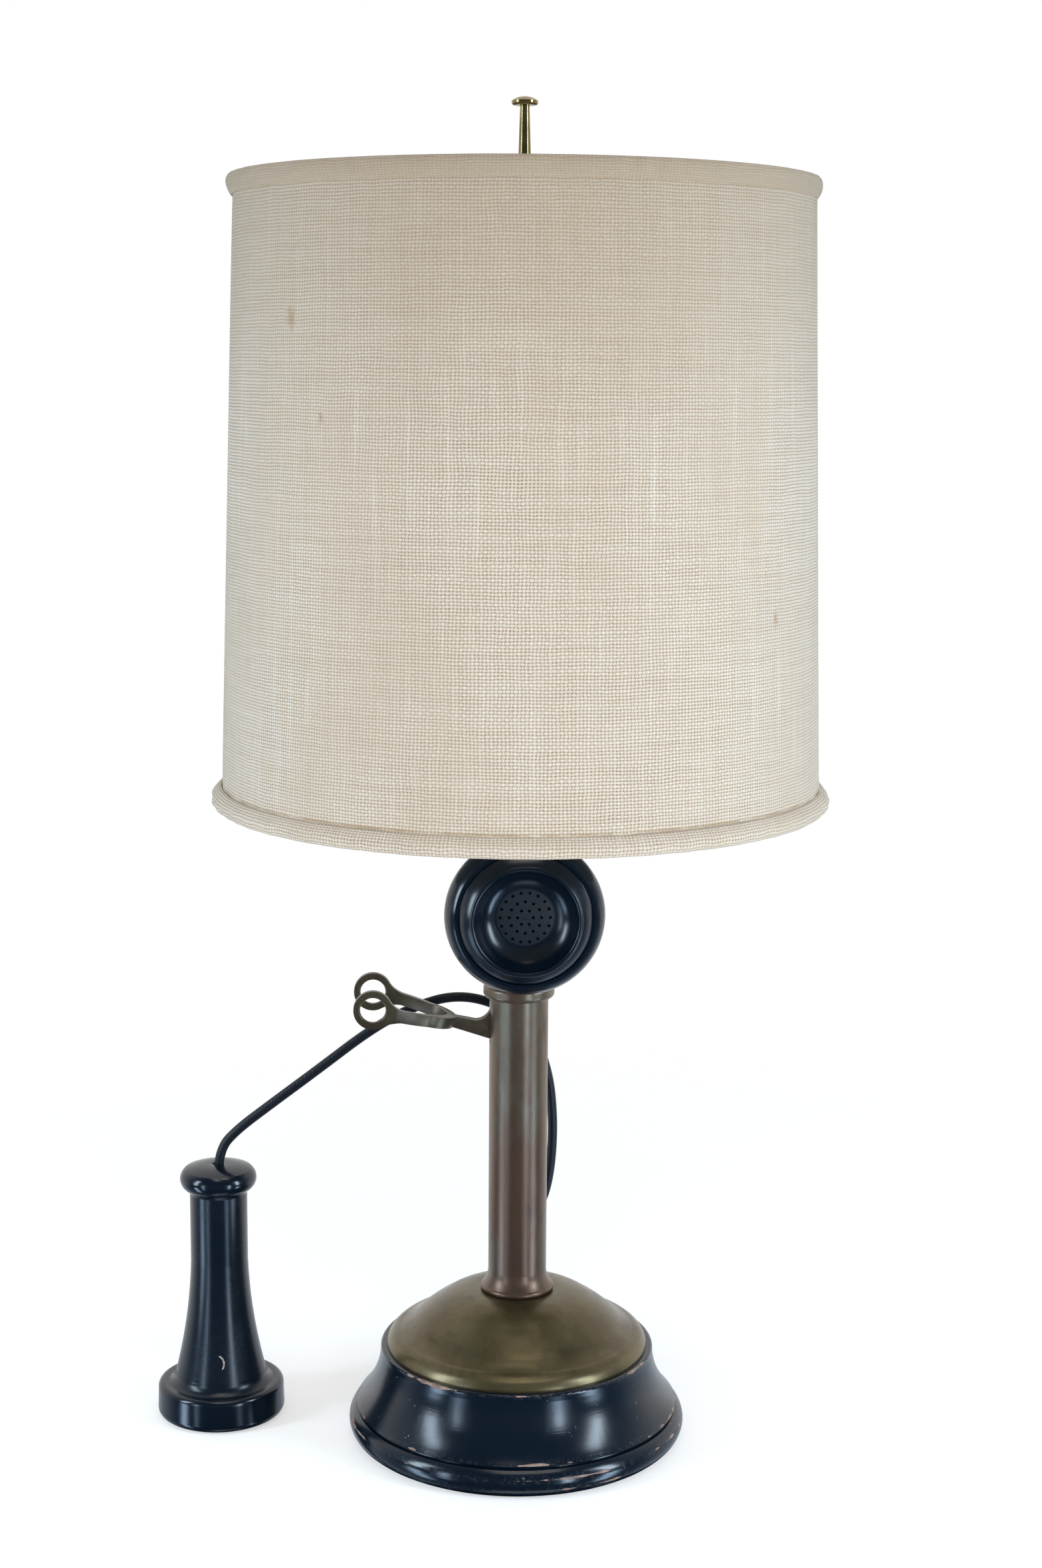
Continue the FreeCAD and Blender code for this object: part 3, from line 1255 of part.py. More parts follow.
def make_shade():
    cloth = "cover_thickness"
    shade_wall("shade_cover", "0", cloth)
    shade_wall("shade_liner", cloth, f"{cloth} + liner_thickness")
    shade_trim("shade_trim_bottom", "0", "trim_fold", "trim_height", "trim_proud")
    shade_trim("shade_trim_top", "shade_height", "shade_height - trim_fold", "shade_height - trim_height",
               "trim_proud_top")
    low_wire = "trim_fold + wire_radius + wire_seat"
    shade_ring("shade_ring_bottom", low_wire)
    high_wire = f"shade_height - ({low_wire})"
    shade_ring("shade_ring_top", high_wire)

    spider = new_body("shade_spider", z=HUB_Z)
    bore = "finial_stud_radius + running_clearance"
    turn(spider, [
        to(bore, "0"),
        to("hub_radius", "0"),
        to("hub_radius", "hub_thickness"),
        to(bore, "hub_thickness"),
    ])
    tip = cone(high_wire, "cover_thickness + liner_thickness + 2 * wire_radius + 6 * wire_seat")
    rise = f"shade_bottom + {high_wire} - ({HUB_Z})"
    level = "hub_thickness / 2"
    path = sketch_on(spider, "XZ_Plane")
    draw(path, [
        to("hub_radius - 2", level),
        to(f"{tip} - spider_bend", level),
        flow(f"{tip} - 0.45 * spider_bend", f"0.36 * ({rise}) + 0.64 * {level}"),
        flow(tip, rise),
    ], closed=False)
    section = sketch_on(spider, "YZ_Plane", "hub_radius - 2")
    draw_circle(section, "0", level, "wire_radius - 0.3")
    arm = spider.newObject("PartDesign::AdditivePipe", "spider_arm")
    arm.Profile = section
    arm.Spine = (path, [])
    spokes = spider.newObject("PartDesign::PolarPattern", "spider_arms")
    spokes.Originals = [arm]
    spokes.Axis = (origin_axis(spider, "Z_Axis"), [""])
    spokes.Angle = 360
    spokes.Occurrences = 3
    spider.Tip = spokes


def origin_axis(body, role):
    return next(axis for axis in body.Origin.OriginFeatures if axis.Role == role)


def make_finial():
    body = new_body("finial", z=FINIAL_Z)
    bore = "finial_stud_radius + running_clearance"
    stud_left = "finial_stud_length - hub_thickness - 2 * hub_gap + 1"
    top = f"finial_top - ({FINIAL_Z})"
    under_cap = f"{top} - finial_cap_height"
    turn(body, [
        to(bore, "0"),
        corner("finial_base_radius", "0", "0.2 * finial_base_height"),
        to("finial_base_radius", "0.45 * finial_base_height"),
        bow("0.6 * finial_base_radius + 0.4 * (finial_stem_low + 2)", "0.85 * finial_base_height",
            "finial_stem_low + 2", "finial_base_height + 1"),
        to("finial_stem_low + 2", f"{stud_left} + 2"),
        bow("finial_stem_low + 0.4", f"{stud_left} + 3.4", "finial_stem_low", f"{stud_left} + 7"),
        to("finial_stem_high", under_cap),
        corner("finial_cap_radius", under_cap, "0.3 * finial_cap_height"),
        to("finial_cap_radius", f"{top} - 0.5 * finial_cap_height"),
        crown("finial_cap_radius", "0.5 * finial_cap_height", top),
        to("0", stud_left),
        to(bore, stud_left),
    ])


def build():
    make_base_felt()
    make_wood_base()
    make_mains_cord_bushing()
    make_base_dome()
    make_column_tube()
    make_column_cap()
    make_lamp_pipe()
    make_pipe_nut()
    make_hook()
    make_hook_bracket()
    make_transmitter()
    make_receiver()
    make_cord_bushing()
    make_receiver_cord()
    make_harp()
    make_socket()
    make_bulb()
    make_shade()
    make_finial()
    doc.recompute()


def check_and_export():
    faults = [thing.Label for thing in doc.Objects if {"Invalid", "Error"} & set(thing.State)]
    for piece in pieces:
        shape = piece.Shape
        if shape.isNull() or not shape.isValid() or not shape.Solids:
            faults.append(f"{piece.Label} has no valid solid")
    if faults:
        raise RuntimeError("; ".join(faults))
    os.makedirs("parts", exist_ok=True)
    for piece in pieces:
        piece.Shape.exportStep(f"parts/{piece.Label}.step")
    print(len(pieces), "sub-parts")


build()
check_and_export()
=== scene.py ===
"""Looks of a candlestick telephone made into a table lamp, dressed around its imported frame."""

import math
import bpy
from mathutils import Matrix, Vector


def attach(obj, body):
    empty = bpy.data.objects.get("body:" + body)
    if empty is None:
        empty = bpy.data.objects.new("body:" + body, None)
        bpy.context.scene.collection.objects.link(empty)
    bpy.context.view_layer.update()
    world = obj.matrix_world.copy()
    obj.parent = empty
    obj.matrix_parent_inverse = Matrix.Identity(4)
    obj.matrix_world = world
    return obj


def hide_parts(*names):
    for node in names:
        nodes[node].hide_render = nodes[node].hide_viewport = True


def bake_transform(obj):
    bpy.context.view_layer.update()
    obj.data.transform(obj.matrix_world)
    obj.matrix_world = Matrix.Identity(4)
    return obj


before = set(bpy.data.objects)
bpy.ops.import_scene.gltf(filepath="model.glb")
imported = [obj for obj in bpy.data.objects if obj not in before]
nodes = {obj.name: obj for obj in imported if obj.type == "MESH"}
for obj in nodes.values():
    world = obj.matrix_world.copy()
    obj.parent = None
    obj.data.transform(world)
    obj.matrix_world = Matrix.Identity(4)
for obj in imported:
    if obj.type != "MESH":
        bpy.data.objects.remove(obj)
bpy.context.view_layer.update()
MM = 0.001
TURN = 2 * math.pi


# Shader nodes
SOCKETS = {
    "base_color": "Base Color",
    "roughness": "Roughness",
    "metallic": "Metallic",
    "normal": "Normal",
    "ior": "IOR",
    "specular": "Specular IOR Level",
    "coat": "Coat Weight",
    "coat_roughness": "Coat Roughness",
    "sheen": "Sheen Weight",
    "sheen_roughness": "Sheen Roughness",
    "transmission": "Transmission Weight",
}


class Signal:
    """A shader socket that takes part in sums. Each operator adds a Math node."""

    def __init__(self, finish, socket):
        self.finish = finish
        self.socket = socket

    def math(self, operation, *others):
        """A Math node on this socket and others."""
        values = dict(enumerate((self, *others)))
        return self.finish.node("ShaderNodeMath", {"operation": operation}, values)

    def __add__(self, other):
        return self.math("ADD", other)

    def __mul__(self, other):
        return self.math("MULTIPLY", other)

    def __sub__(self, other):
        return self.math("SUBTRACT", other)

    def __rsub__(self, other):
        return self.math("MULTIPLY", -1.0) + other

    def __truediv__(self, other):
        return self.math("DIVIDE", other)

    def __abs__(self):
        return self.math("ABSOLUTE")

    __radd__ = __add__
    __rmul__ = __mul__

    def most(self, other):
        """The greater of two."""
        return self.math("MAXIMUM", other)

    def span(self, other):
        """The distance that two measures make, square to each other."""
        return (self * self + other * other).math("SQRT")

    def ramp(self, low, high):
        """0 at low and 1 at high, eased at both ends."""
        sockets = {"Value": self, "From Min": low, "From Max": high}
        return self.finish.node("ShaderNodeMapRange", {"interpolation_type": "SMOOTHSTEP"}, sockets)


class Finish:
    """A material with one shader, and the nodes that feed it."""

    def __init__(self, name, **constants):
        self.material = bpy.data.materials.new(name)
        self.material.use_nodes = True
        self.tree = self.material.node_tree
        self.shader = self.tree.nodes["Principled BSDF"]
        self.feed(**constants)

    def node(self, kind, settings=None, sockets=None, output=0):
        """Adds a node with its properties and sockets set, and gives one of its outputs."""
        made = self.tree.nodes.new(kind)
        for name, value in (settings or {}).items():
            setattr(made, name, value)
        for name, value in (sockets or {}).items():
            self.join(made.inputs[name], value)
        return Signal(self, made.outputs[output])

    def join(self, socket, value):
        """Links a signal to a socket, or sets the socket to a plain value."""
        if isinstance(value, Signal):
            self.tree.links.new(value.socket, socket)
        else:
            socket.default_value = value

    def feed(self, **values):
        """Sets the shader's sockets, named in lower case with _ for a space."""
        for name, value in values.items():
            self.join(self.shader.inputs[SOCKETS[name]], value)

    def coordinates(self, output="Object"):
        """Texture coordinates of one kind."""
        return self.node("ShaderNodeTexCoord", output=output)

    def split(self, vector):
        """The three parts of a vector."""
        parts = self.node("ShaderNodeSeparateXYZ", None, {0: vector})
        outputs = parts.socket.node.outputs
        return [Signal(self, outputs[axis]) for axis in range(3)]

    def vector(self, x, y, z=0.0):
        """A vector from its parts."""
        return self.node("ShaderNodeCombineXYZ", None, {0: x, 1: y, 2: z})

    def noise(self, place, scale, detail=3.0, roughness=0.55, stretch=(1, 1, 1)):
        """Noise from 0 to 1 at a place, with the place scaled along its axes first."""
        if stretch != (1, 1, 1):
            place = self.node("ShaderNodeMapping", None, {"Vector": place, "Scale": stretch})
        sockets = {"Vector": place, "Scale": scale, "Detail": detail, "Roughness": roughness}
        return self.node("ShaderNodeTexNoise", None, sockets)

    def mix(self, share, first, second):
        """A colour between two, by a share from 0 to 1."""
        made = self.tree.nodes.new("ShaderNodeMix")
        made.data_type = "RGBA"
        for name, value in (("Factor_Float", share), ("A_Color", first), ("B_Color", second)):
            socket = next(s for s in made.inputs if s.identifier == name)
            self.join(socket, (*value, 1.0) if isinstance(value, tuple) else value)
        return Signal(self, next(s for s in made.outputs if s.identifier == "Result_Color"))

    def bump(self, height, depth, strength=1.0):
        """A normal from a height, where 1 stands for the depth in metres."""
        sockets = {"Height": height, "Distance": depth, "Strength": strength}
        return self.node("ShaderNodeBump", None, sockets)


# Finishes
WEAVE_ACROSS = 1.6 * MM
WEAVE_UP = 1.45 * MM
# Stains on the shade: place across, place up and size
STAINS = (
    (-0.121, 0.224, 0.0042),
    (-0.101, 0.182, 0.0022),
    (0.120, 0.096, 0.0032),
    (-0.205, 0.046, 0.0030),
)
STAIN_DRAWN = math.sqrt(0.35)
CREASES = (9.8 * MM,)
# The cream, tan and darkest tones also paint the weave's shade: light crowns, tan sides, dark hollows
CREAM = (0.775, 0.700, 0.608)
TAN = (0.610, 0.485, 0.360)
GAP_SHADE_AND_FLECK = (0.390, 0.268, 0.168)
SLUB = (0.860, 0.810, 0.730)
AGED_AND_SHADED = (0.440, 0.345, 0.245)
CREASE_DARK = (0.400, 0.265, 0.120)
STAIN = (0.36, 0.20, 0.085)


def burlap(name, aged_and_shaded, aged_and_shaded_high, stains=(), creases=()):
    """Plain-weave jute on the cloth's own coordinates: two sets of threads, over and under each other.

    The first share darkens and yellows the whole piece, the second adds more towards the shade's top:
    yellowing with age, and painted shade where less light reaches the top.
    """
    f = Finish(name, specular=0.10, sheen=0.12, sheen_roughness=0.6)
    across, up, _ = f.split(f.coordinates("UV"))
    place = f.vector(across, up)
    drift = f.noise(place, 45.0, 2.0) - 0.5
    waver = f.noise(place, 380.0, 1.0) - 0.5
    a = across / WEAVE_ACROSS + drift * 1.5 + waver * 0.35
    b = up / WEAVE_UP + drift * 1.0 - waver * 0.35
    a_thread = a.math("FLOOR")
    b_thread = b.math("FLOOR")

    def side(thread):
        """1 for an even thread and -1 for an odd one."""
        return 1.0 - thread.math("FLOORED_MODULO", 2.0) * 2.0

    def round_of(measure, width):
        """A thread's round back: 1 along its middle, falling to 0 at the width's edge."""
        off = abs(measure - measure.math("FLOOR") - 0.5) / (0.5 * width)
        return (1.0 - off * off).most(0.0).math("SQRT")

    def rise(measure):
        """A thread's path over and under: 1 halfway across each thread that it meets."""
        return ((measure - 0.5) * math.pi).math("COSINE")

    a_slub = f.noise(f.vector(a_thread * 7.31, up * 22.0), 1.0, 2.0)
    b_slub = f.noise(f.vector(across * 22.0, b_thread * 5.77), 1.0, 2.0)
    upright = round_of(a, 0.24 + a_slub * 0.84) * (0.52 + 0.34 * side(a_thread) * rise(b))
    level = round_of(b, 0.32 + b_slub * 0.84) * (0.66 - 0.34 * side(b_thread) * rise(a))
    height = upright.most(level)
    fibre = f.noise(place, 2600.0, 2.0)
    # Painted shade of the weave's relief: thread crowns lighter, their sides tan and the hollows between
    # threads darkest
    colour = f.mix(height.ramp(0.40, 0.84), TAN, CREAM)
    colour = f.mix(height.ramp(0.34, 0.06), colour, GAP_SHADE_AND_FLECK)
    streak = f.noise(place, 1.0, 3.0, 0.6, (260.0, 9.0, 1.0)).ramp(0.54, 0.74)
    colour = f.mix(streak * height.ramp(0.2, 0.6) * 0.50, colour, SLUB)
    dull = f.noise(place, 7.0, 4.0, 0.6, (1.6, 0.7, 1.0)).ramp(0.40, 0.68)
    colour = f.mix(dull * 0.40, colour, TAN)
    # Darker and yellower towards the top: aged jute, and painted shade of the dimmer top
    colour = f.mix(aged_and_shaded + up.ramp(0.14, 0.29) * aged_and_shaded_high, colour, AGED_AND_SHADED)
    # Random darker fibres, in the same dark tone as the painted shade in the hollows
    colour = f.mix(fibre.ramp(0.60, 0.86) * 0.12, colour, GAP_SHADE_AND_FLECK)
    # A broken darker line along the crease where the low band meets the cloth
    for crease in creases:
        broken = f.noise(place, 60.0, 3.0).ramp(0.36, 0.58)
        line = abs(up - crease).ramp(1.0 * MM, 0.2 * MM) * broken
        colour = f.mix(line * 0.6, colour, CREASE_DARK)
    for s, t, size in stains:
        far = (across - s).span((up - t) * STAIN_DRAWN)
        ragged = far + (f.noise(place, 420.0, 3.0) - 0.5) * size * 1.4
        colour = f.mix(ragged.ramp(size, size * 0.1) * 0.5, colour, STAIN)
    f.feed(base_color=colour, roughness=0.93, normal=f.bump(height + fibre * 0.04, 0.40 * MM, 0.8))
    return f.material


def aged_brass(name, bright, brown, dark, gloss, metal=0.9, stretch=(1, 1, 1), rubbed=()):
    """Brass under a brown patina, in soft blotches and fine scuffs, brighter along the rings it is
    given: rubbed edges, and on the dome's rim also a painted highlight.
    """
    f = Finish(name, metallic=metal, coat_roughness=0.25)
    place = f.coordinates()
    x, y, z = f.split(place)
    blotch = f.noise(place, 30.0, 5.0, 0.65, stretch)
    grime = f.noise(place, 80.0, 4.0, 0.6, stretch)
    scuff = f.noise(place, 700.0, 3.0, 0.6)
    colour = f.mix(blotch.ramp(0.40, 0.60), brown, bright)
    colour = f.mix(grime.ramp(0.55, 0.80) * 0.7, colour, dark)
    radius = x.span(y)
    # Brighter rings: rubbed brass, and on the dome's rim partly a painted highlight
    for ring, level, reach in rubbed:
        far = (radius - ring).span(z - level)
        worn = (far + (grime - 0.5) * reach).ramp(reach, reach * 0.25)
        colour = f.mix(worn * 0.35, colour, tuple(min(1.0, 1.7 * part) for part in bright))
    shine = gloss + (grime - 0.5) * 0.20 + (scuff - 0.5) * 0.10
    f.feed(base_color=colour, roughness=shine, coat=0.12)
    f.feed(normal=f.bump(grime * 0.8 + scuff * 0.2, 0.02 * MM, 0.25))
    return f.material


# Edges of the base: radius, height and how far the wear reaches
PAINT_EDGES = (
    (67.2 * MM, 44.6 * MM, 0.75 * MM),
    (79.3 * MM, 15.6 * MM, 0.75 * MM),
    (82.7 * MM, 9.4 * MM, 0.9 * MM),
    (82.3 * MM, 4.0 * MM, 0.9 * MM),
)


def black_paint():
    """Black paint on turned wood, rubbed through to bare wood here and there along its edges."""
    f = Finish("worn_black_paint", specular=0.5)
    place = f.coordinates()
    x, y, z = f.split(place)
    radius = x.span(y)
    rough = f.noise(place, 260.0, 4.0, 0.7)
    patch = f.noise(place, 30.0, 3.0, 0.6)
    chips = f.noise(place, 520.0, 3.0, 0.6)
    rings = f.noise(f.vector(radius * 2600.0, z * 2600.0, 0.0), 1.0, 1.0)
    worn = None
    rubbed = None
    for ring, level, reach in PAINT_EDGES:
        far = (radius - ring).span(z - level)
        near = far + (rough - 0.5) * reach * 2.2
        edge = (near + (0.60 - patch) * reach * 13.0).ramp(reach, reach * 0.7)
        rub = (near + (0.50 - patch) * reach * 6.0).ramp(reach * 3.2, reach)
        worn = edge if worn is None else worn.most(edge)
        rubbed = rub if rubbed is None else rubbed.most(rub)
    worn = worn.most(chips.ramp(0.715, 0.740) * patch.ramp(0.46, 0.58))
    wood = f.mix(rough.ramp(0.3, 0.7), (0.20, 0.115, 0.085), (0.46, 0.32, 0.26))
    # The navy tint of the paint is painted blue daylight, on top of its own black
    paint = f.mix(patch, (0.0012, 0.0052, 0.0120), (0.0026, 0.0085, 0.0175))
    paint = f.mix(rubbed * chips.ramp(0.45, 0.7) * 0.5, paint, (0.045, 0.048, 0.055))
    f.feed(base_color=f.mix(worn, paint, wood))
    f.feed(roughness=0.16 + rough * 0.08 + worn * 0.4 - rubbed * 0.04)
    f.feed(normal=f.bump(rings * 0.6 - worn * 0.9 + rough * 0.2, 0.10 * MM, 0.5))
    return f.material


def bakelite(name, gloss, scratches=(), dulled=()):
    """Black moulding with a worn polish: faint smears, fine dust and a pale scratch or two."""
    f = Finish(name, specular=0.5)
    place = f.coordinates()
    smear = f.noise(place, 55.0, 4.0, 0.6)
    fine = f.noise(place, 700.0, 3.0, 0.6)
    # The navy tint of these blacks is painted blue daylight, on top of their own black
    colour = f.mix(smear, (0.0012, 0.0046, 0.0105), (0.0026, 0.0078, 0.0160))
    colour = f.mix(fine.ramp(0.72, 0.82) * 0.3, colour, (0.05, 0.05, 0.05))
    for centre, size, tilt in scratches:
        sockets = {"Vector": place, "Location": centre, "Rotation": tilt}
        turned = f.node("ShaderNodeMapping", {"vector_type": "TEXTURE"}, sockets)
        along, depth, up = f.split(turned)
        bow = along + (up * up) * 130.0
        inside = abs(bow / size[0]).ramp(1.0, 0.5) * abs(up / size[1]).ramp(1.0, 0.85)
        front = depth.ramp(0.020, 0.010)
        colour = f.mix(inside * front * fine.ramp(0.25, 0.55), colour, (0.48, 0.42, 0.37))
    shine = gloss + (smear - 0.5) * 0.14 + (fine - 0.5) * 0.06
    x, _, z = f.split(place)
    for right, height, radius in dulled:
        far = (x - right).span(z - height)
        dull = far.ramp(radius, radius * 0.92)
        colour = f.mix(dull * 0.8, colour, (0.0100, 0.0145, 0.0225))
        shine = shine + dull * 0.18
    f.feed(base_color=colour, roughness=shine, normal=f.bump(fine, 0.02 * MM, 0.5))
    return f.material


BRAID_TURNS = 210.0
BRAID_STRANDS = 8.0


def braid():
    """Fine cloth braid, worn smooth over rubber: strands crossing both ways round the cord."""
    f = Finish("dark_cord_braid", specular=0.35, sheen=0.05)
    along, round_it, _ = f.split(f.coordinates("UV"))
    turns = along * BRAID_TURNS
    left = ((turns + round_it * BRAID_STRANDS) * TURN).math("SINE")
    right = ((turns - round_it * BRAID_STRANDS) * TURN).math("SINE")
    strand = left.most(right)
    rub = f.noise(f.coordinates(), 300.0, 3.0)
    # Darker between the strands is painted shade of the braid, and the navy tint is painted blue
    # daylight
    colour = f.mix(strand.ramp(-0.2, 1.0), (0.0040, 0.0058, 0.0100), (0.0068, 0.0095, 0.0150))
    colour = f.mix(rub.ramp(0.62, 0.82) * 0.3, colour, (0.024, 0.029, 0.038))
    f.feed(base_color=colour, roughness=0.38 + (rub - 0.5) * 0.14)
    f.feed(normal=f.bump(strand, 0.05 * MM, 0.4))
    return f.material


METAL_GRAIN = 500.0
MOULDED_SPECKLE = 900.0


def plain_metal(name, tone, gloss):
    """Bare or plated metal with a fine grain and a few dull clouds."""
    f = Finish(name, metallic=1.0)
    place = f.coordinates()
    cloud = f.noise(place, 60.0, 4.0)
    fine = f.noise(place, METAL_GRAIN, 2.0)
    darker = tuple(0.62 * part for part in tone)
    f.feed(base_color=f.mix(cloud, darker, tone))
    f.feed(roughness=gloss + (cloud - 0.5) * 0.2 + (fine - 0.5) * 0.1)
    f.feed(normal=f.bump(fine, 0.02 * MM, 0.4))
    return f.material


def moulded(name, tone, gloss):
    """Plastic, card, porcelain or rubber: a quiet surface with a little mottling."""
    f = Finish(name, specular=0.4)
    place = f.coordinates()
    cloud = f.noise(place, 45.0, 3.0)
    fine = f.noise(place, MOULDED_SPECKLE, 2.0)
    darker = tuple(0.8 * part for part in tone)
    f.feed(base_color=f.mix(cloud, darker, tone), roughness=gloss + (fine - 0.5) * 0.12)
    f.feed(normal=f.bump(fine, 0.03 * MM, 0.5))
    return f.material


def felt():
    """Green wool felt with a short nap."""
    f = Finish("base_felt", specular=0.1, sheen=0.5)
    place = f.coordinates()
    nap = f.noise(place, 900.0, 5.0, 0.7)
    cloud = f.noise(place, 40.0, 3.0)
    colour = f.mix(cloud, (0.020, 0.045, 0.028), (0.035, 0.075, 0.045))
    colour = f.mix(nap.ramp(0.5, 0.8), colour, (0.07, 0.12, 0.08))
    f.feed(base_color=colour, roughness=0.95, normal=f.bump(nap, 0.3 * MM))
    return f.material


def frosted_glass():
    """Glass frosted inside, so that light goes through it and no shape does."""
    f = Finish("frosted_bulb_glass", roughness=0.35, ior=1.45, transmission=0.45, specular=0.5)
    cloud = f.noise(f.coordinates(), 30.0, 3.0)
    f.feed(base_color=f.mix(cloud, (0.86, 0.86, 0.84), (0.93, 0.92, 0.90)))
    return f.material


# Brass tones: bright, brown and dark
COLUMN_BROWN = ((0.172, 0.138, 0.098), (0.148, 0.084, 0.055), (0.050, 0.040, 0.034))
DOME_OLIVE = ((0.132, 0.103, 0.050), (0.096, 0.071, 0.033), (0.052, 0.040, 0.021))
HOOK_BROWN = ((0.104, 0.081, 0.050), (0.076, 0.054, 0.036), (0.036, 0.028, 0.021))
FINIAL_GOLD = ((0.330, 0.245, 0.100), (0.230, 0.160, 0.060), (0.120, 0.080, 0.032))
UPRIGHT = (1, 1, 0.35)
DOME_RIM_RUB_AND_HIGHLIGHT = (63.6 * MM, 49.0 * MM, 4.0 * MM)
GRILLE = (0.0, 270.7 * MM, 14.0 * MM)
# A scratch: its middle, its half width and half length, and its tilt
SCRATCH_ON_BELL = (((-0.1455, 0.0005, 0.0330), (0.00055, 0.0036), (0.0, -0.25, 0.0)),)

finishes = {
    # The high band's darkening all over, and the cloth's darkening towards its top, are aged jute and
    # painted shade
    "cloth": burlap("burlap_cloth", 0.0, 0.60, STAINS, CREASES),
    "low_trim": burlap("burlap_low_trim", 0.0, 0.0),
    "high_trim": burlap("burlap_high_trim", 0.86, 0.0),
    "column": aged_brass("column_patina", *COLUMN_BROWN, 0.36, 0.74, UPRIGHT),
    "dome": aged_brass("dome_patina", *DOME_OLIVE, 0.31, 0.72, rubbed=(DOME_RIM_RUB_AND_HIGHLIGHT,)),
    "hook": aged_brass("hook_patina", *HOOK_BROWN, 0.36, 0.65),
    "gold": aged_brass("antique_brass", *FINIAL_GOLD, 0.24),
    "paint": black_paint(),
    "moulding": bakelite("black_moulding", 0.18),
    "mouth": bakelite("black_mouth_moulding", 0.22, dulled=(GRILLE,)),
    "bell": bakelite("black_bell_moulding", 0.26, SCRATCH_ON_BELL),
    "braid": braid(),
    "steel": plain_metal("plain_steel", (0.42, 0.42, 0.41), 0.38),
    "wire": plain_metal("brass_washed_wire", (0.50, 0.38, 0.19), 0.34),
    "carbon": plain_metal("capsule_brass", (0.42, 0.32, 0.15), 0.40),
    "copper": moulded("enamelled_winding", (0.22, 0.07, 0.035), 0.35),
    "rubber": moulded("black_rubber", (0.012, 0.012, 0.012), 0.6),
    "card": moulded("pressed_card", (0.30, 0.22, 0.13), 0.85),
    "porcelain": moulded("white_porcelain", (0.78, 0.76, 0.70), 0.2),
    "key": moulded("black_key", (0.010, 0.010, 0.010), 0.3),
    "liner": moulded("shade_backing", (0.74, 0.70, 0.60), 0.7),
    "felt": felt(),
    "glass": frosted_glass(),
}
DRESS = {
    "paint": ["wood_base"],
    "rubber": ["mains_cord_bushing", "cord_bushing"],
    "dome": ["base_dome"],
    "column": ["column_tube", "column_cap", "neck_sleeve"],
    "hook": ["hook"],
    "steel": ["pipe_washer", "pipe_nut", "lamp_pipe", "hook_bracket", "hook_pivot_pin",
              "hook_return_spring", "tilt_screw", "tilt_nut", "transmitter_diaphragm",
              "receiver_diaphragm", "receiver_magnet"],
    "moulding": ["transmitter_cup", "transmitter_faceplate", "transmitter_lug",
                 "receiver_ear_cap", "receiver_tail_cap"],
    "mouth": ["mouthpiece"],
    "bell": ["receiver_shell"],
    "carbon": ["transmitter_button"],
    "copper": ["receiver_coils"],
    "gold": ["harp_saddle", "harp_sleeve_left", "harp_sleeve_right", "socket_cap", "socket_shell",
             "finial"],
    "wire": ["harp", "socket_screw_shell", "bulb_base", "shade_ring_top", "shade_ring_bottom",
             "shade_spider"],
    "card": ["socket_insulator"],
    "porcelain": ["socket_core"],
    "key": ["switch_key"],
    "glass": ["bulb_glass"],
    "liner": ["shade_liner"],
}


def wear(piece, finish):
    """Gives a piece one finish, in place of what it came with."""
    piece.data.materials.clear()
    piece.data.materials.append(finishes[finish])


for finish, names in DRESS.items():
    for name in names:
        wear(nodes[name], finish)


# Modelling by hand
def only(piece):
    """Selects one piece and makes it the active one."""
    bpy.ops.object.select_all(action="DESELECT")
    piece.select_set(True)
    bpy.context.view_layer.objects.active = piece


def started(name):
    """The primitive that was just added, named, with its place moved into its mesh."""
    piece = bpy.context.object
    piece.name = name
    piece.data.name = name
    only(piece)
    bpy.ops.object.transform_apply(location=True, rotation=True, scale=True)
    return piece


def editing(mode):
    """Edit mode on the active piece, selecting by VERT, EDGE or FACE."""
    bpy.ops.object.mode_set(mode="EDIT")
    bpy.ops.mesh.select_mode(type=mode)


def pick(piece, mode, wanted):
    """Edit mode with only the wanted edges or faces of the active piece selected."""
    editing(mode)
    bpy.ops.mesh.select_all(action="DESELECT")
    bpy.ops.object.mode_set(mode="OBJECT")
    for part in piece.data.edges if mode == "EDGE" else piece.data.polygons:
        part.select = wanted(part)
    editing(mode)


def finished(piece, angle):
    """Shades a piece smooth, with an edge wherever its faces turn by more than the angle in degrees."""
    bpy.ops.object.mode_set(mode="OBJECT")
    only(piece)
    bpy.ops.object.shade_smooth_by_angle(angle=math.radians(angle))


def apply(piece, kind, **settings):
    """Adds a modifier and applies it."""
    only(piece)
    made = piece.modifiers.new(kind.lower(), kind)
    for name, value in settings.items():
        setattr(made, name, value)
    bpy.ops.object.modifier_apply(modifier=made.name)


def bearing(place):
    """Angle round the column from the front, with its jump at the back, where the cloth has its seam."""
    return math.atan2(-place.x, -place.y)


def wrap(piece, radius, measure):
    """Cloth coordinates in metres: round the column at one radius, and up by a measure of each point."""
    for spare in list(piece.data.uv_layers):
        piece.data.uv_layers.remove(spare)
    cloth = piece.data.uv_layers.new(name="cloth")
    for face in piece.data.polygons:
        middle = bearing(face.center)
        for loop in face.loop_indices:
            place = piece.data.vertices[piece.data.loops[loop].vertex_index].co
            turn = bearing(place)
            turn += TURN * round((middle - turn) / TURN)
            cloth.data[loop].uv = (-turn * radius, measure(place))


# Shade
SHADE_LOW = 318.0 * MM
SHADE_TALL = 289.0 * MM
RADIUS_LOW = 142.1 * MM
RADIUS_HIGH = 133.1 * MM
FOLD = 1.2 * MM
CLOTH = 1.0 * MM
AROUND = 256
CLOTH_ROWS = 56
SEAM_HALF = 7.0 * MM
SEAM_STEP = 2.0 * MM
EDGE_PULL_REACH = 14.0 * MM
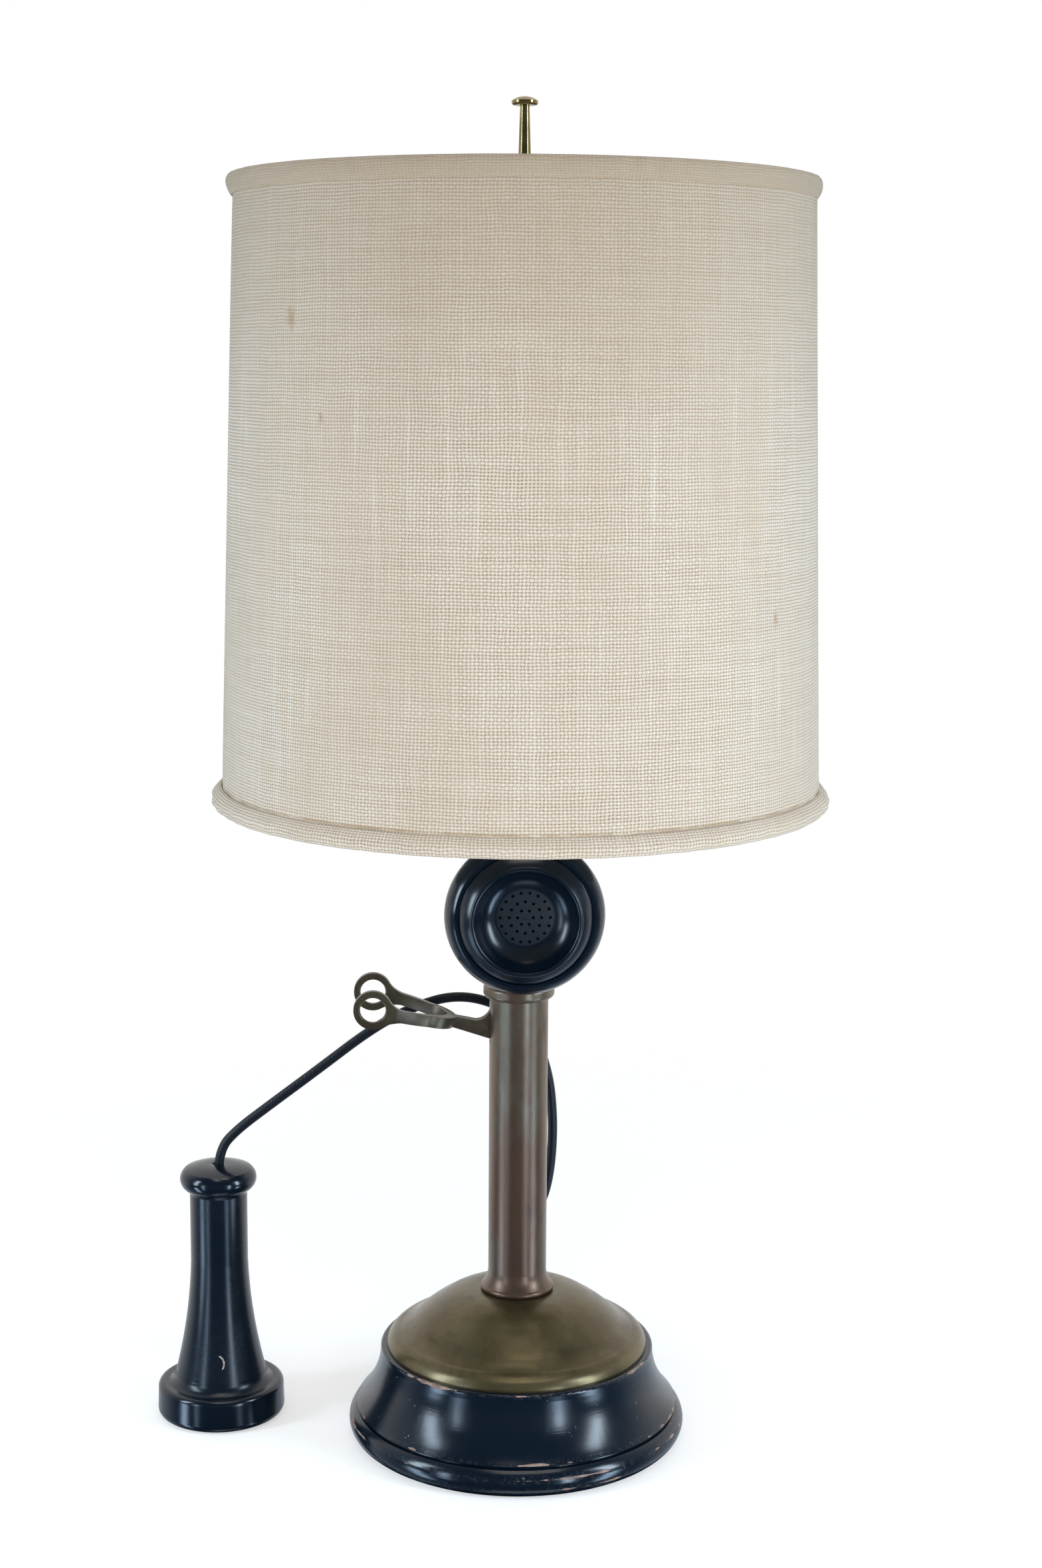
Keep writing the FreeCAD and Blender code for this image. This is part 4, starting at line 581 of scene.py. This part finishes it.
# Unevenness of the cover, in millimetres
SEAM_PROUD = 0.7
WIDE_SWAY = 0.22
FINE_SWAY = 0.14
EDGE_PULL = 0.30
CLOTH_SUNK = 0.1


def cloth_radius(height):
    """The cover's outer radius at a height over the shade's lower edge."""
    return RADIUS_LOW + (RADIUS_HIGH - RADIUS_LOW) * height / SHADE_TALL


def make_cloth():
    """The cover: a cone of cloth, a little uneven, with a lapped seam at the back."""
    low = FOLD
    high = SHADE_TALL - FOLD
    bpy.ops.object.select_all(action="DESELECT")
    bpy.ops.mesh.primitive_cone_add(
        vertices=AROUND, radius1=cloth_radius(low), radius2=cloth_radius(high), depth=high - low,
        end_fill_type="NOTHING", location=(0, 0, SHADE_LOW + (low + high) / 2))
    piece = started("shade_cloth")

    def upright(edge):
        """Whether an edge runs up the cone."""
        ends = [piece.data.vertices[n].co.z for n in edge.vertices]
        return abs(ends[0] - ends[1]) > SHADE_TALL / 2

    pick(piece, "EDGE", upright)
    bpy.ops.mesh.subdivide(number_cuts=CLOTH_ROWS)
    bpy.ops.mesh.normals_make_consistent(inside=False)
    bpy.ops.object.mode_set(mode="OBJECT")
    for vertex in piece.data.vertices:
        place = vertex.co
        turn = math.atan2(place.y, place.x)
        height = place.z - SHADE_LOW
        edge = min(height, SHADE_TALL - height)
        sway = WIDE_SWAY * math.sin(3 * turn + 0.7 + 5 * height)
        sway += FINE_SWAY * math.sin(7 * turn - 9 * height)
        pull = EDGE_PULL * math.sin(41 * turn + 3 * math.sin(5 * turn))
        pull *= math.exp(-edge / EDGE_PULL_REACH)
        lap = SEAM_HALF - abs(place.x) if place.y > 0 else -1.0
        seam = SEAM_PROUD * max(0.0, min(1.0, lap / SEAM_STEP + 0.5))
        grow = (sway + pull + seam - CLOTH_SUNK) * MM
        out = Vector((place.x, place.y, 0)).normalized()
        vertex.co += out * grow
    apply(piece, "SOLIDIFY", thickness=CLOTH, offset=-1.0)
    wrap(piece, (RADIUS_LOW + RADIUS_HIGH) / 2, lambda place: place.z - SHADE_LOW)
    finished(piece, 50)
    wear(piece, "cloth")
    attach(piece, "shade")
    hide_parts("shade_cover")


TRIM_TALL = 9.4 * MM
TRIM_INSIDE = 4.8 * MM
TRIM_TUCK = 0.9 * MM
TUCK_OVER = 0.4 * MM
TUCK_UNDER = 0.2 * MM
TUCK_END = 0.15 * MM
TRIM_GLUED = 0.2 * MM
TRIM_WELD = 0.02 * MM
SECTION = 28
TRIM_STEPS = 360
OUTER_SHARE = 0.62
TUCK_SHARE = 0.42
ROLL_START = 0.16
ROLL_FULL = 0.8
ROLL_LEAN = 1.15
ROLL_RADIUS = 0.55 * TRIM_TALL
# Puckers of the bands, in millimetres
CRIMP = 0.30
RIPPLE = 0.22
FINE_RIPPLE = 0.12
PUCKER_ROOM = 0.62


def trim_section(share, proud):
    """A point of the folded band's section: distance out from the cloth, height from the shade's edge.

    The share runs over the round back, then down behind it and in under the shade.
    """
    if share < OUTER_SHARE:
        t = share / OUTER_SHARE
        swell = math.sin(math.pi * (ROLL_START + (1 - ROLL_START) * t)) ** ROLL_FULL
        return proud * swell, TRIM_TALL * t ** ROLL_LEAN
    t = (share - OUTER_SHARE) / (1 - OUTER_SHARE)
    if t < TUCK_SHARE:
        s = t / TUCK_SHARE
        return -TRIM_TUCK * s, TRIM_TALL * (1 - s) + (FOLD + TUCK_OVER) * s
    s = (t - TUCK_SHARE) / (1 - TUCK_SHARE)
    return -TRIM_TUCK - (TRIM_INSIDE - TRIM_TUCK) * s, FOLD + TUCK_UNDER


def make_trim(name, node, finish, edge, way, proud, twist):
    """A band of the same cloth folded over the wire at one edge of the shade, puckered where it's glued.

    way is 1 for a band that rises from its edge and -1 for one that hangs from it.
    """
    bpy.ops.object.select_all(action="DESELECT")
    bpy.ops.mesh.primitive_circle_add(vertices=SECTION, radius=MM, fill_type="NOTHING")
    piece = started(name)
    last = SECTION - 1
    for n, vertex in enumerate(piece.data.vertices):
        out, up = trim_section(n / last, proud)
        if n == last:
            out, up = -TRIM_INSIDE, TUCK_END
        height = edge + way * up
        vertex.co = (cloth_radius(height) + out, 0.0, SHADE_LOW + height)
    editing("VERT")
    bpy.ops.mesh.select_all(action="SELECT")
    bpy.ops.mesh.spin(
        steps=TRIM_STEPS, angle=TURN, center=(0, 0, 0), axis=(0, 0, 1), use_auto_merge=False)
    bpy.ops.mesh.select_all(action="SELECT")
    bpy.ops.mesh.remove_doubles(threshold=TRIM_WELD)
    bpy.ops.mesh.normals_make_consistent(inside=False)
    bpy.ops.object.mode_set(mode="OBJECT")
    for vertex in piece.data.vertices:
        place = vertex.co
        turn = math.atan2(place.y, place.x)
        height = place.z - SHADE_LOW
        out = math.hypot(place.x, place.y) - cloth_radius(height)
        if out < TRIM_GLUED:
            continue
        swell = out / proud
        crimp = CRIMP * math.sin(53 * turn + 2.5 * math.sin(7 * turn + twist))
        ripple = RIPPLE * math.sin(19 * turn + twist)
        ripple += FINE_RIPPLE * math.sin(97 * turn + 2 * math.sin(11 * turn))
        shift = (crimp + ripple - PUCKER_ROOM) * swell * MM
        away = Vector((place.x, place.y, 0)).normalized()
        vertex.co += away * shift

    def over_the_roll(place):
        """Distance over the band's round back, from the middle of its height."""
        height = place.z - SHADE_LOW
        out = math.hypot(place.x, place.y) - cloth_radius(height)
        turned = math.atan2((height - edge) * way - TRIM_TALL / 2, max(out, 0.0) + MM)
        return turned * ROLL_RADIUS

    wrap(piece, cloth_radius(edge), over_the_roll)
    finished(piece, 60)
    wear(piece, finish)
    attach(piece, "shade")
    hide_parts(node)
    return piece


low_band = make_trim("shade_band_low", "shade_trim_bottom", "low_trim", 0.0, 1, 5.1 * MM, 0.4)
high_band = make_trim("shade_band_high", "shade_trim_top", "high_trim", SHADE_TALL, -1, 3.4 * MM, 2.1)
make_cloth()


# Receiver cord
# Points of the cord's route, in millimetres
CORD_POINTS = (
    (0, 13.2, 91), (0, 20.6, 91), (4.4, 25.2, 94.4), (10.6, 26.2, 101.6), (15.8, 26, 112.6),
    (18.6, 26, 131), (19, 26, 152.5), (16.6, 26, 174.8), (8.6, 26, 196.4), (-8.5, 26.2, 210.4),
    (-30, 26.6, 215.2), (-52, 26.6, 208.6), (-72, 26.4, 197.6), (-98.2, 26.2, 177.4),
    (-123.3, 26, 158.6), (-138.6, 26, 146.8), (-147, 26, 137.4), (-148, 26, 127.6),
)
CORD_THICK = 4.8 * MM
CORD_STEPS = 14
CORD_ROUND = 7


def make_cord():
    """The braided cord, a tube along its route from the column's back to the receiver."""
    curve = bpy.data.curves.new("receiver_cord_line", "CURVE")
    curve.dimensions = "3D"
    spline = curve.splines.new("NURBS")
    spline.points.add(len(CORD_POINTS) - 1)
    for point, (x, y, z) in zip(spline.points, CORD_POINTS):
        point.co = (x * MM, y * MM, z * MM, 1.0)
    spline.order_u = 3
    spline.use_endpoint_u = True
    spline.resolution_u = CORD_STEPS
    line = bpy.data.objects.new("receiver_cord_line", curve)
    bpy.context.scene.collection.objects.link(line)
    centre = bpy.data.meshes.new_from_object(line)
    bpy.data.meshes.remove(centre)
    curve.bevel_depth = CORD_THICK / 2
    curve.bevel_resolution = CORD_ROUND
    curve.use_fill_caps = True
    tube = bpy.data.meshes.new_from_object(line)
    bpy.data.objects.remove(line)
    piece = bpy.data.objects.new("receiver_cord_braid", tube)
    bpy.context.scene.collection.objects.link(piece)
    finished(piece, 60)
    wear(piece, "braid")
    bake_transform(piece)
    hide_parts("receiver_cord")


make_cord()


# Felt under the base
FELT_RADIUS = 72.8 * MM
FELT_THICK = 1.5 * MM
FELT_EASED = 0.35 * MM
FELT_AROUND = 128
# Widths of the rings that divide its two faces, in millimetres
FELT_RINGS = (0.5, 8, 16, 20)


def make_felt():
    """The pad, a disc with its lower edge eased."""
    bpy.ops.object.select_all(action="DESELECT")
    bpy.ops.mesh.primitive_cylinder_add(
        vertices=FELT_AROUND, radius=FELT_RADIUS, depth=FELT_THICK, location=(0, 0, FELT_THICK / 2))
    piece = started("base_felt_pad")
    pick(piece, "FACE", lambda face: abs(face.normal.z) > 0.9)
    for width in FELT_RINGS:
        bpy.ops.mesh.inset(thickness=width * MM)
    bpy.ops.object.mode_set(mode="OBJECT")
    for vertex in piece.data.vertices:
        far = math.hypot(vertex.co.x, vertex.co.y)
        if vertex.co.z < 0.5 * MM and far > FELT_RADIUS - 0.3 * MM:
            vertex.co.z += FELT_EASED
    finished(piece, 60)
    wear(piece, "felt")
    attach(piece, "stand")
    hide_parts("base_felt")


make_felt()


# Hook with its edges eased
HOOK_EASED = 0.7 * MM
HOOK_WELD = 0.01 * MM
HOOK_FLAT = math.radians(0.5)
HOOK_SHARP = math.radians(50)


def make_hook():
    """A copy of the hook's shape with its sharp edges rounded."""
    piece = nodes["hook"].copy()
    piece.data = nodes["hook"].data.copy()
    piece.name = "hook_eased"
    piece.parent = None
    for key in list(piece.keys()):
        del piece[key]
    bpy.context.scene.collection.objects.link(piece)
    only(piece)
    editing("VERT")
    bpy.ops.mesh.select_all(action="SELECT")
    bpy.ops.mesh.remove_doubles(threshold=HOOK_WELD)
    bpy.ops.mesh.dissolve_limited(angle_limit=HOOK_FLAT)
    bpy.ops.object.mode_set(mode="OBJECT")
    apply(piece, "BEVEL", width=HOOK_EASED, segments=3, limit_method="ANGLE", angle_limit=HOOK_SHARP)
    finished(piece, 35)
    wear(piece, "hook")
    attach(piece, "hook")
    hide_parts("hook")


make_hook()


# Floor, light and camera
FLOOR_WIDE = 30.0
FLOOR_DROP = 0.4 * MM
FLOOR_TONE = (0.82, 0.82, 0.82, 1.0)
FLOOR_GLOW = 0.50
FADE_START = 0.22
FADE_END = 0.75
TABLE = (0.52, 0.60, 0.70, 1.0)
TABLE_GLOSS = 0.15
TABLE_EDGE = 0.25
WHITE = (1.0, 1.0, 1.0, 1.0)


def make_floor():
    """A pale floor that takes the object's shadow and runs out to the white of the backdrop.

    A gloss sees that white behind the object, and in front a polished table that shows the windows.
    """
    bpy.ops.object.select_all(action="DESELECT")
    bpy.ops.mesh.primitive_plane_add(size=FLOOR_WIDE, location=(0, 0, -FLOOR_DROP))
    floor = bpy.context.object
    floor.name = "studio_floor"
    f = Finish("pale_floor", base_color=FLOOR_TONE, roughness=0.9, specular=0.1)
    rays = f.tree.nodes.new("ShaderNodeLightPath").outputs
    gloss = Signal(f, rays["Is Glossy Ray"])
    seen = Signal(f, rays["Is Camera Ray"]).most(gloss).most(Signal(f, rays["Is Transmission Ray"]))
    x, y, _ = f.split(f.coordinates())
    far = x.span(y).ramp(FADE_START, FADE_END)
    white = f.node("ShaderNodeEmission", None, {"Color": WHITE, "Strength": seen})
    glow = f.node("ShaderNodeEmission", None, {"Color": WHITE, "Strength": seen * FLOOR_GLOW})
    near = f.node("ShaderNodeAddShader", None, {0: Signal(f, f.shader.outputs[0]), 1: glow})
    pale = f.node("ShaderNodeMixShader", None, {0: far * seen, 1: near, 2: white})
    table = {"Base Color": TABLE, "Metallic": 1.0, "Roughness": TABLE_GLOSS}
    polish = f.node("ShaderNodeBsdfPrincipled", None, table)
    in_front = gloss * y.ramp(TABLE_EDGE, 0.0)
    whole = f.node("ShaderNodeMixShader", None, {0: in_front, 1: pale, 2: polish})
    f.join(f.tree.nodes["Material Output"].inputs["Surface"], whole)
    floor.data.materials.append(f.material)


class Studio(Finish):
    """The same node maker, for the world's own shader."""

    def __init__(self, world):
        self.tree = world.node_tree
        self.shader = self.tree.nodes["Background"]


WORLD_LIGHT = 0.60
ROOM = 0.12
ROOM_TINT = (0.60, 0.80, 1.0)
ROOM_FRONT = -0.30
ROOM_BACK = 0.50


def make_world():
    """White where it is seen, dimmer as light, and dark to a gloss on the camera's side of the room."""
    world = bpy.data.worlds.new("studio_world")
    bpy.context.scene.world = world
    world.use_nodes = True
    f = Studio(world)
    rays = f.tree.nodes.new("ShaderNodeLightPath").outputs
    camera = Signal(f, rays["Is Camera Ray"]).most(Signal(f, rays["Is Transmission Ray"]))
    gloss = Signal(f, rays["Is Glossy Ray"])
    _, depth, _ = f.split(f.coordinates("Generated"))
    behind = depth.ramp(ROOM_FRONT, ROOM_BACK)
    room = behind * (1.0 - ROOM) + ROOM
    strength = camera.most(gloss * room).most((1.0 - camera.most(gloss)) * room * WORLD_LIGHT)
    f.join(f.shader.inputs["Strength"], strength)
    f.join(f.shader.inputs["Color"], f.mix(behind.most(camera), ROOM_TINT, WHITE[:3]))


# Lamps: name, place, target, size, watts, tint, and whether a gloss shows it
LAMPS = (
    ("left_window", (-1.04, -0.36, 0.52), (0, 0, 0.28), (0.20, 0.70), 5.9, (0.68, 0.85, 1.0), True),
    ("right_window", (0.97, -0.56, 0.52), (0, 0, 0.28), (0.20, 0.70), 7.1, (0.70, 0.86, 1.0), True),
    ("left_strip", (-0.76, -0.66, 0.17), (0, 0, 0.15), (0.10, 0.32), 0.9, (0.62, 0.80, 1.0), True),
    ("right_strip", (0.50, -0.88, 0.17), (0, 0, 0.15), (0.10, 0.32), 1.7, (0.66, 0.83, 1.0), True),
    ("overhead", (0.1, -0.5, 2.2), (0, 0, 0.3), (1.2, 1.2), 10.5, (1.0, 0.95, 0.88), True),
    ("front_fill", (-0.1, -1.5, 0.30), (0, 0, 0.35), (1.0, 0.5), 7.0, (1.0, 0.93, 0.84), False),
)


def make_lamp(name, place, target, size, watts, tint, mirrored):
    """A soft lamp turned to a target. A lamp that isn't mirrored shows in no gloss."""
    light = bpy.data.lights.new(name, "AREA")
    light.shape = "RECTANGLE"
    light.size = size[0]
    light.size_y = size[1]
    light.energy = watts
    light.color = tint
    lamp = bpy.data.objects.new(name, light)
    lamp.location = place
    lamp.rotation_euler = (Vector(target) - Vector(place)).to_track_quat("-Z", "Y").to_euler()
    lamp.visible_camera = False
    lamp.visible_glossy = mirrored
    bpy.context.scene.collection.objects.link(lamp)


CAMERA_PLACE = Vector((-67.1131, -1143.4278, 521.962)) * MM
CAMERA_RIGHT = Vector((0.9983, -0.0577, 0.0067))
CAMERA_UP = Vector((0.0032, 0.1692, 0.9856))
CAMERA_BACK = Vector((-0.058, -0.9839, 0.1691))
LENS = 55.79
SENSOR = 36.0


def make_camera():
    """A camera at the photograph's place and angle."""
    data = bpy.data.cameras.new("photo_camera")
    data.sensor_fit = "VERTICAL"
    data.sensor_height = SENSOR
    data.lens = LENS
    data.clip_start = 0.05
    camera = bpy.data.objects.new("photo_camera", data)
    turned = Matrix((CAMERA_RIGHT, CAMERA_UP, CAMERA_BACK)).transposed().to_4x4()
    camera.matrix_world = Matrix.Translation(CAMERA_PLACE) @ turned
    bpy.context.scene.collection.objects.link(camera)
    bpy.context.scene.camera = camera


make_floor()
make_world()
for lamp in LAMPS:
    make_lamp(*lamp)
make_camera()
bpy.context.scene.view_settings.view_transform = "Standard"
